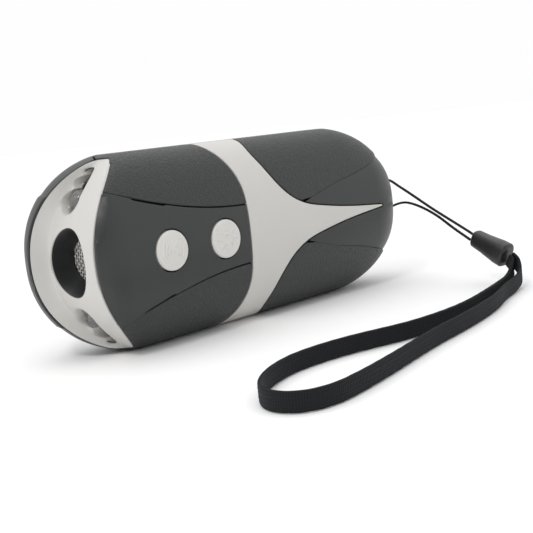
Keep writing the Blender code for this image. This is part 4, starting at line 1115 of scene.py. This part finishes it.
def make_bezel():
    heights = (BEZEL_TIP - HALF_GAP) * np.sin(np.linspace(-math.pi / 2, math.pi / 2, 140))
    face = np.stack((depth_at(plate_x(heights), heights) - 0.05, heights), -1)
    back = np.stack((bezel_back(heights) + HALF_GAP, heights), -1)[::-1]
    outer = soften(even_steps(np.vstack((face, back)), 0.1, True), 70)
    mouth = ellipse(HORN_Y, HORN_HALF_Y, HORN_HALF_Z) * (-1.0, 1.0)
    slots = [soften(even_steps(teardrop(0.0, side), 0.2, True), 2) * (-1.0, 1.0) for side in (1, -1)]

    def radius(points):
        """Larger edges round the wide inner ends of the lamp slots."""
        from_lamp = np.hypot(points[:, 1] - LAMP_Y, np.abs(points[:, 2] - CENTRE_Z) - LAMP_Z)
        inner_end = np.abs(points[:, 2] - CENTRE_Z) < LAMP_Z + 0.5
        return 0.22 + 0.4 * ((from_lamp < 3.3) & inner_end)

    def down(points, inwards):
        return np.tile((1.0, 0.0, 0.0), (len(points), 1))

    def thick(points):
        return plate_x(points[:, 2] - CENTRE_Z) + BEZEL_THICK - points[:, 0]

    patch("bezel_skin", "trim", bezel_surface, [outer, mouth, *slots], -1, thick, radius,
          pitch=0.32, spacing=0.16, down=down, replaces=["nose_bezel"], slot="light_trim")


def ring_faces(ring, after, sides):
    """Faces between two rings of corner numbers, either of which may be a single point."""
    faces = []
    for k in range(sides):
        n = (k + 1) % sides
        corners = [(ring, k), (ring, n), (after, n), (after, k)]
        faces.append(tuple(dict.fromkeys(points[m % len(points)] for points, m in corners)))
    return faces


def revolve(name, look, profile, place, axis="X", sides=64, **placing):
    """Turns (along, radius) pairs about an axis; a closed ring unless the ends have radius 0."""
    points, faces, rings = [], [], []
    for along, radius in profile:
        ring = []
        for k in range(sides if radius else 1):
            angle = 2 * math.pi * k / sides
            a, b = radius * math.cos(angle), radius * math.sin(angle)
            ring.append(len(points))
            points.append((along, a, b) if axis == "X" else (a, along, b))
        rings.append(ring)
    closed = profile[0][1] > 0 and profile[-1][1] > 0
    for ring, after in list(zip(rings, rings[1:])) + ([(rings[-1], rings[0])] if closed else []):
        faces += ring_faces(ring, after, sides)
    return link_mesh(name, np.array(points) + np.array(place), faces, look, **placing)


def rounded(radius, height, size, angles):
    """(radius, height) pairs of a rounded edge, inwards and up from its start."""
    return [(radius - size * (1 - math.cos(a)), height + size * math.sin(a)) for a in angles]


def make_horn():
    """A funnel that narrows from the mouth to the mesh."""
    sides, wall, inset = 120, 0.16, 0.22
    half_y, half_z = HORN_HALF_Y - inset, HORN_HALF_Z - inset
    mouth = ellipse(HORN_Y, half_y, half_z, sides)
    mouth_x = bezel_front(mouth[:, 1], -mouth[:, 0]) + 0.35
    rings = []
    for share in np.linspace(0.0, 1.0, 26):
        curve = share ** 0.8
        loop = ellipse(HORN_Y * (1 - curve) + THROAT_Y * curve,
                       half_y * (1 - curve) + THROAT_RADIUS * curve,
                       half_z * (1 - curve) + THROAT_RADIUS * curve, sides)
        x = mouth_x * (1 - share) + THROAT_X * share
        rings.append(np.stack((x, loop[:, 0], CENTRE_Z + loop[:, 1]), -1))
    outside = []
    for ring in rings[::-1]:
        spread = (ring - ring.mean(axis=0))[:, 1:]
        length = np.linalg.norm(spread, axis=1)[:, None]
        outside.append(ring + np.hstack((np.zeros((sides, 1)), spread / length * wall)))
    faces = tube_faces(2 * len(rings), sides, False)
    last = (2 * len(rings) - 1) * sides
    faces += [(last + k, last + (k + 1) % sides, (k + 1) % sides, k) for k in range(sides)]
    link_mesh("horn_wall", np.vstack(rings + outside), faces, "horn", replaces=["horn_funnel"],
              slot="horn_black")


def make_mesh_disc():
    """Woven wire mesh over the sound transducer: two sets of wires, over and under."""
    pitch, wire, reach, sides, step, swing, proud = 0.84, 0.17, 5.9, 8, 0.155, 0.11, 0.35
    points, faces = [], []
    turn = math.radians(8.0)
    c, s = math.cos(turn), math.sin(turn)
    for direction_index in (0, 1):
        side_y, side_z = (-s, c) if direction_index else (c, s)
        for wire_index in range(-7, 8):
            across = wire_index * pitch
            if abs(across) > reach - 0.1:
                continue
            half = math.sqrt(reach ** 2 - across ** 2)
            count = int(2 * half / step) + 1
            start = len(points)
            for k in range(count + 1):
                along = -half + 2 * half * k / count
                phase = math.pi * (along / pitch + 0.5)
                out = swing * math.sin(phase) * (1 if (wire_index + direction_index) % 2 else -1)
                a, b = (along, across) if direction_index else (across, along)
                y, z = a * c - b * s, a * s + b * c
                for j in range(sides):
                    angle = 2 * math.pi * j / sides
                    ring_out, ring_side = wire * math.cos(angle), wire * math.sin(angle)
                    points.append((THROAT_X + proud + out + ring_out,
                                   THROAT_Y + y + side_y * ring_side,
                                   CENTRE_Z + z + side_z * ring_side))
            faces += tube_faces(count + 1, sides, True, start)
    link_mesh("woven_mesh", points, faces, "mesh", replaces=["transducer_mesh"], slot="steel",
              sharp=80.0)


def make_lamp_pocket(word, side):
    """The plated pocket behind a lamp slot: inner walls, a floor, and an outer skin."""
    slot_loop = soften(even_steps(teardrop(0.12, side), 0.22, True), 1)
    count = len(slot_loop)
    height = side * LAMP_Z
    front = plate_x(slot_loop[:, 1]) + 1.0
    floor = np.maximum(front + 0.8, -45.5 + 0.30 * (np.abs(slot_loop[:, 1]) - LAMP_Z))
    rings = []
    for share in np.linspace(0.0, 1.0, 12):
        shrink = 1 - 0.22 * share ** 1.6
        loop = slot_loop * shrink + slot_loop.mean(axis=0) * share * 0.22
        x = front + (floor - front) * share
        rings.append(np.stack((x, loop[:, 0], CENTRE_Z + loop[:, 1]), -1))
    outer = [r + np.array([0.25, 0.0, 0.0]) for r in rings[::-1]]
    outer = [np.stack((r[:, 0], LAMP_Y + (r[:, 1] - LAMP_Y) * 1.03,
                       CENTRE_Z + height + (r[:, 2] - CENTRE_Z - height) * 1.03), -1) for r in outer]
    base, last = len(rings) * count, (len(rings) - 1) * count
    end = base + last
    faces = tube_faces(len(rings), count, False)
    faces.append(tuple(last + k for k in range(count)))
    faces += tube_faces(len(outer), count, False, base)
    faces.append(tuple(base + k for k in range(count)))
    faces += [(k, (k + 1) % count, end + (k + 1) % count, end + k) for k in range(count)]
    link_mesh(f"lamp_pockets_{word}", np.vstack(rings + outer), faces, "reflector",
              replaces=[f"lamp_tray_{word}"], slot="lamp_reflector", sharp=50.0)


def make_lamps():
    """Two clear domes, each with a small cup and chip inside, in their pockets."""
    dome = [(LENS_X + LENS_RADIUS * (1 - math.cos(a)), LENS_RADIUS * math.sin(a))
            for a in np.linspace(0, math.pi / 2, 20)]
    lens = dome + [(-46.6, LENS_RADIUS), (-46.3, 2.2), (-46.3, 0.0)]
    cup = [(-47.0, 0.0), (-47.0, 1.1), (-47.5, 1.75), (-47.7, 1.85), (-47.4, 1.2), (-47.3, 0.0)]
    chip = [(-47.45, 0.0), (-47.45, 0.55), (-47.25, 0.7), (-47.22, 0.0)]
    for word, side in (("upper", 1), ("lower", -1)):
        make_lamp_pocket(word, side)
        place = (0.0, LAMP_Y, CENTRE_Z + side * LAMP_Z)
        revolve(f"lamp_lens_{word}", "clear", lens, place, replaces=[f"lamp_{word}"], slot="lamp")
        revolve(f"lamp_cup_{word}", "reflector", cup, place, slot="lamp_reflector")
        revolve(f"lamp_chip_{word}", "phosphor", chip, place, slot="lamp")


# ---- buttons and screws ----
MARK_HALF, MARK_TALL = 0.3, 0.17
RELIEF_DEPTH = 0.35  # how far below its top a disc still carries its relief


def ridge(distance, half=MARK_HALF):
    """Height of a rounded ridge at a distance from its middle line."""
    return MARK_TALL * np.sqrt(np.maximum(1 - (distance / half) ** 2, 0.0))


def waves_mark(a, b):
    """Sound symbol: a dot with three arcs on each side."""
    radius, angle = np.hypot(a, b), np.abs(np.arctan2(b, a))
    lift = ridge(radius, 0.5)
    for ring in (1.3, 2.2, 3.1):
        sector = (angle < 0.7) | (angle > math.pi - 0.7)
        lift = np.maximum(lift, ridge(radius - ring) * sector)
    return lift


def light_mark(a, b):
    """Light symbol: a ring with eight short rays."""
    radius, angle = np.hypot(a, b), np.arctan2(b, a)
    lift = ridge(radius - 1.25)
    for k in range(8):
        turn = angle - k * math.pi / 4
        along, across = radius * np.cos(turn), radius * np.sin(turn)
        rays = (along > 2.0) & (along < 3.2)
        lift = np.maximum(lift, ridge(across) * rays)
    return lift


def cross_recess(a, b):
    """Recess for a cross-head driver."""
    arm = np.minimum(np.abs(a), np.abs(b))
    reach = np.maximum(np.abs(a), np.abs(b))
    return -0.6 * np.clip((0.28 - arm) / 0.1, 0, 1) * np.clip((1.1 - reach) / 0.4, 0, 1)


def relief_disc(name, look, place, facing, profile, mark, **placing):
    """A round piece facing along Y: a profile of (radius, height) whose top carries a relief."""
    sides = 144
    points, faces, rings = [], [], []
    for radius, height in profile:
        angles = whole_turn(sides) if radius else np.zeros(1)
        a, b = radius * np.cos(angles), radius * np.sin(angles)
        rise = mark(a, b) if height >= profile[-1][1] - RELIEF_DEPTH else np.zeros(len(a))
        rings.append(list(range(len(points), len(points) + len(a))))
        points += [(p, facing * (height + h), q) for p, q, h in zip(a, b, rise)]
    for ring, after in zip(rings, rings[1:]):
        faces += ring_faces(ring, after, sides)
    return link_mesh(name, np.array(points) + np.array(place), faces, look, **placing)


def make_buttons():
    for (word, x), mark in zip(BUTTON_XS.items(), (waves_mark, light_mark)):
        top = HALF_DEPTH + float(step_over(x)) + 0.5
        profile = [(0.0, 10.4), (1.8, 10.4), (1.8, 11.3), (6.0, 11.3), (6.0, 12.0), (4.8, 12.0),
                   (4.8, top - 0.62)]
        profile += rounded(4.8, top - 0.62, 0.5, np.linspace(0, math.pi / 2, 9)[1:])
        profile += [(float(r), top - 0.12 * (r / 4.3) ** 2) for r in np.arange(4.2, 0.05, -0.085)]
        profile.append((0.0, top))
        relief_disc(f"{word}_button_cap", "button", (x, 0.0, CENTRE_Z), -1.0, profile, mark,
                    body=f"{word}_button", replaces=[f"{word}_button"], slot="button")


def make_screws():
    for k, (x, height) in enumerate(SCREW_PLACES, 1):
        profile = [(0.0, -4.0), (1.0, -4.0), (1.0, 9.7), (1.75, 9.7), (1.75, 10.3),
                   *rounded(1.75, 10.3, 0.6, np.linspace(0.1, math.pi / 2, 8))]
        profile += [(float(r), 10.92) for r in np.arange(1.1, 0.03, -0.055)] + [(0.0, 10.92)]
        relief_disc(f"screw_{k}", "steel", (x, 0.0, CENTRE_Z + height), 1.0, profile, cross_recess,
                    replaces=[f"case_screw_{k}"], slot="steel")


def dress_inner_nodes():
    """Materials for the CAD nodes that keep their own shape."""
    looks = {"face_shell": "inner", "battery_block": "battery", "battery_pad": "foam",
             "battery_snap": "rubber", "battery_wire_black": "wire_black", "battery_wire_red": "wire_red",
             "circuit_board": "board", "driver_chip": "component", "light_switch": "steel",
             "light_switch_plunger": "rubber", "sound_switch": "steel", "sound_switch_plunger": "rubber",
             "step_up_transformer": "component", "storage_capacitor": "component", "strap_pin": "steel",
             "transducer_can": "steel", "transducer_gasket": "rubber"}
    for node, look in looks.items():
        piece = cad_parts[node]
        for part in piece.material_slots:
            part.material = LOOKS[look]
        if not piece.material_slots:
            piece.data.materials.append(LOOKS[look])


# ---- floor and light ----
WHITE, SHADED = 0.99, 0.4
DARK_SIDE = (-0.68, -0.7, 0.2)  # the studio is darkest towards here
SUN_FROM = (0.2, 0.3, 0.9)
SUN_STRENGTH = 0.42


def area_light(name, place, target, size, power):
    data = bpy.data.lights.new(name, "AREA")
    data.shape, data.size, data.size_y, data.energy = "RECTANGLE", *size, power
    light = bpy.data.objects.new(name, data)
    light.location = place
    light.rotation_euler = (Vector(target) - Vector(place)).to_track_quat("-Z", "Y").to_euler()
    bpy.context.scene.collection.objects.link(light)


def make_stage():
    """A pale floor, an even sky with one darker side, a soft sun and a lamp near the nose."""
    world = bpy.data.worlds.new("studio")
    world.use_nodes = True
    tree = world.node_tree
    sky = tree.nodes.new("ShaderNodeTexCoord")
    toward = tree.nodes.new("ShaderNodeVectorMath")
    toward.operation = "DOT_PRODUCT"
    toward.inputs[1].default_value = DARK_SIDE
    tree.links.new(sky.outputs["Generated"], toward.inputs[0])
    shade = tree.nodes.new("ShaderNodeValToRGB")
    shade.color_ramp.interpolation = "EASE"
    for element, (at, level) in zip(shade.color_ramp.elements, ((0.6, WHITE), (0.98, SHADED))):
        element.position, element.color = at, (level, level, level, 1.0)
    tree.links.new(toward.outputs["Value"], shade.inputs["Fac"])
    tree.links.new(shade.outputs["Color"], tree.nodes["Background"].inputs["Color"])
    bpy.context.scene.world = world
    bpy.context.scene.view_settings.view_transform = "Standard"
    bm = bmesh.new()
    bmesh.ops.create_circle(bm, cap_ends=True, radius=8.0, segments=64)
    mesh = bpy.data.meshes.new("floor")
    bm.to_mesh(mesh)
    bm.free()
    mesh.materials.append(LOOKS["floor"])
    floor = bpy.data.objects.new("floor", mesh)
    floor.location = (0.0, 0.0, -0.0001)
    bpy.context.scene.collection.objects.link(floor)
    sun = bpy.data.lights.new("sun", "SUN")
    sun.energy, sun.angle = SUN_STRENGTH, math.radians(50.0)
    lamp = bpy.data.objects.new("sun", sun)
    lamp.rotation_euler = Vector(SUN_FROM).to_track_quat("Z", "Y").to_euler()
    bpy.context.scene.collection.objects.link(lamp)
    area_light("nose", (-0.3, -0.12, 0.35), (-0.05, 0.0, 0.03), (0.08, 0.08), 0.45)


make_looks()
make_camera()
make_strap()
make_stage()
make_front_panel()
make_front_grips()
make_star_and_rear()
make_back_shell()
make_cover()
make_bezel()
make_horn()
make_mesh_disc()
make_lamps()
make_buttons()
make_screws()
dress_inner_nodes()
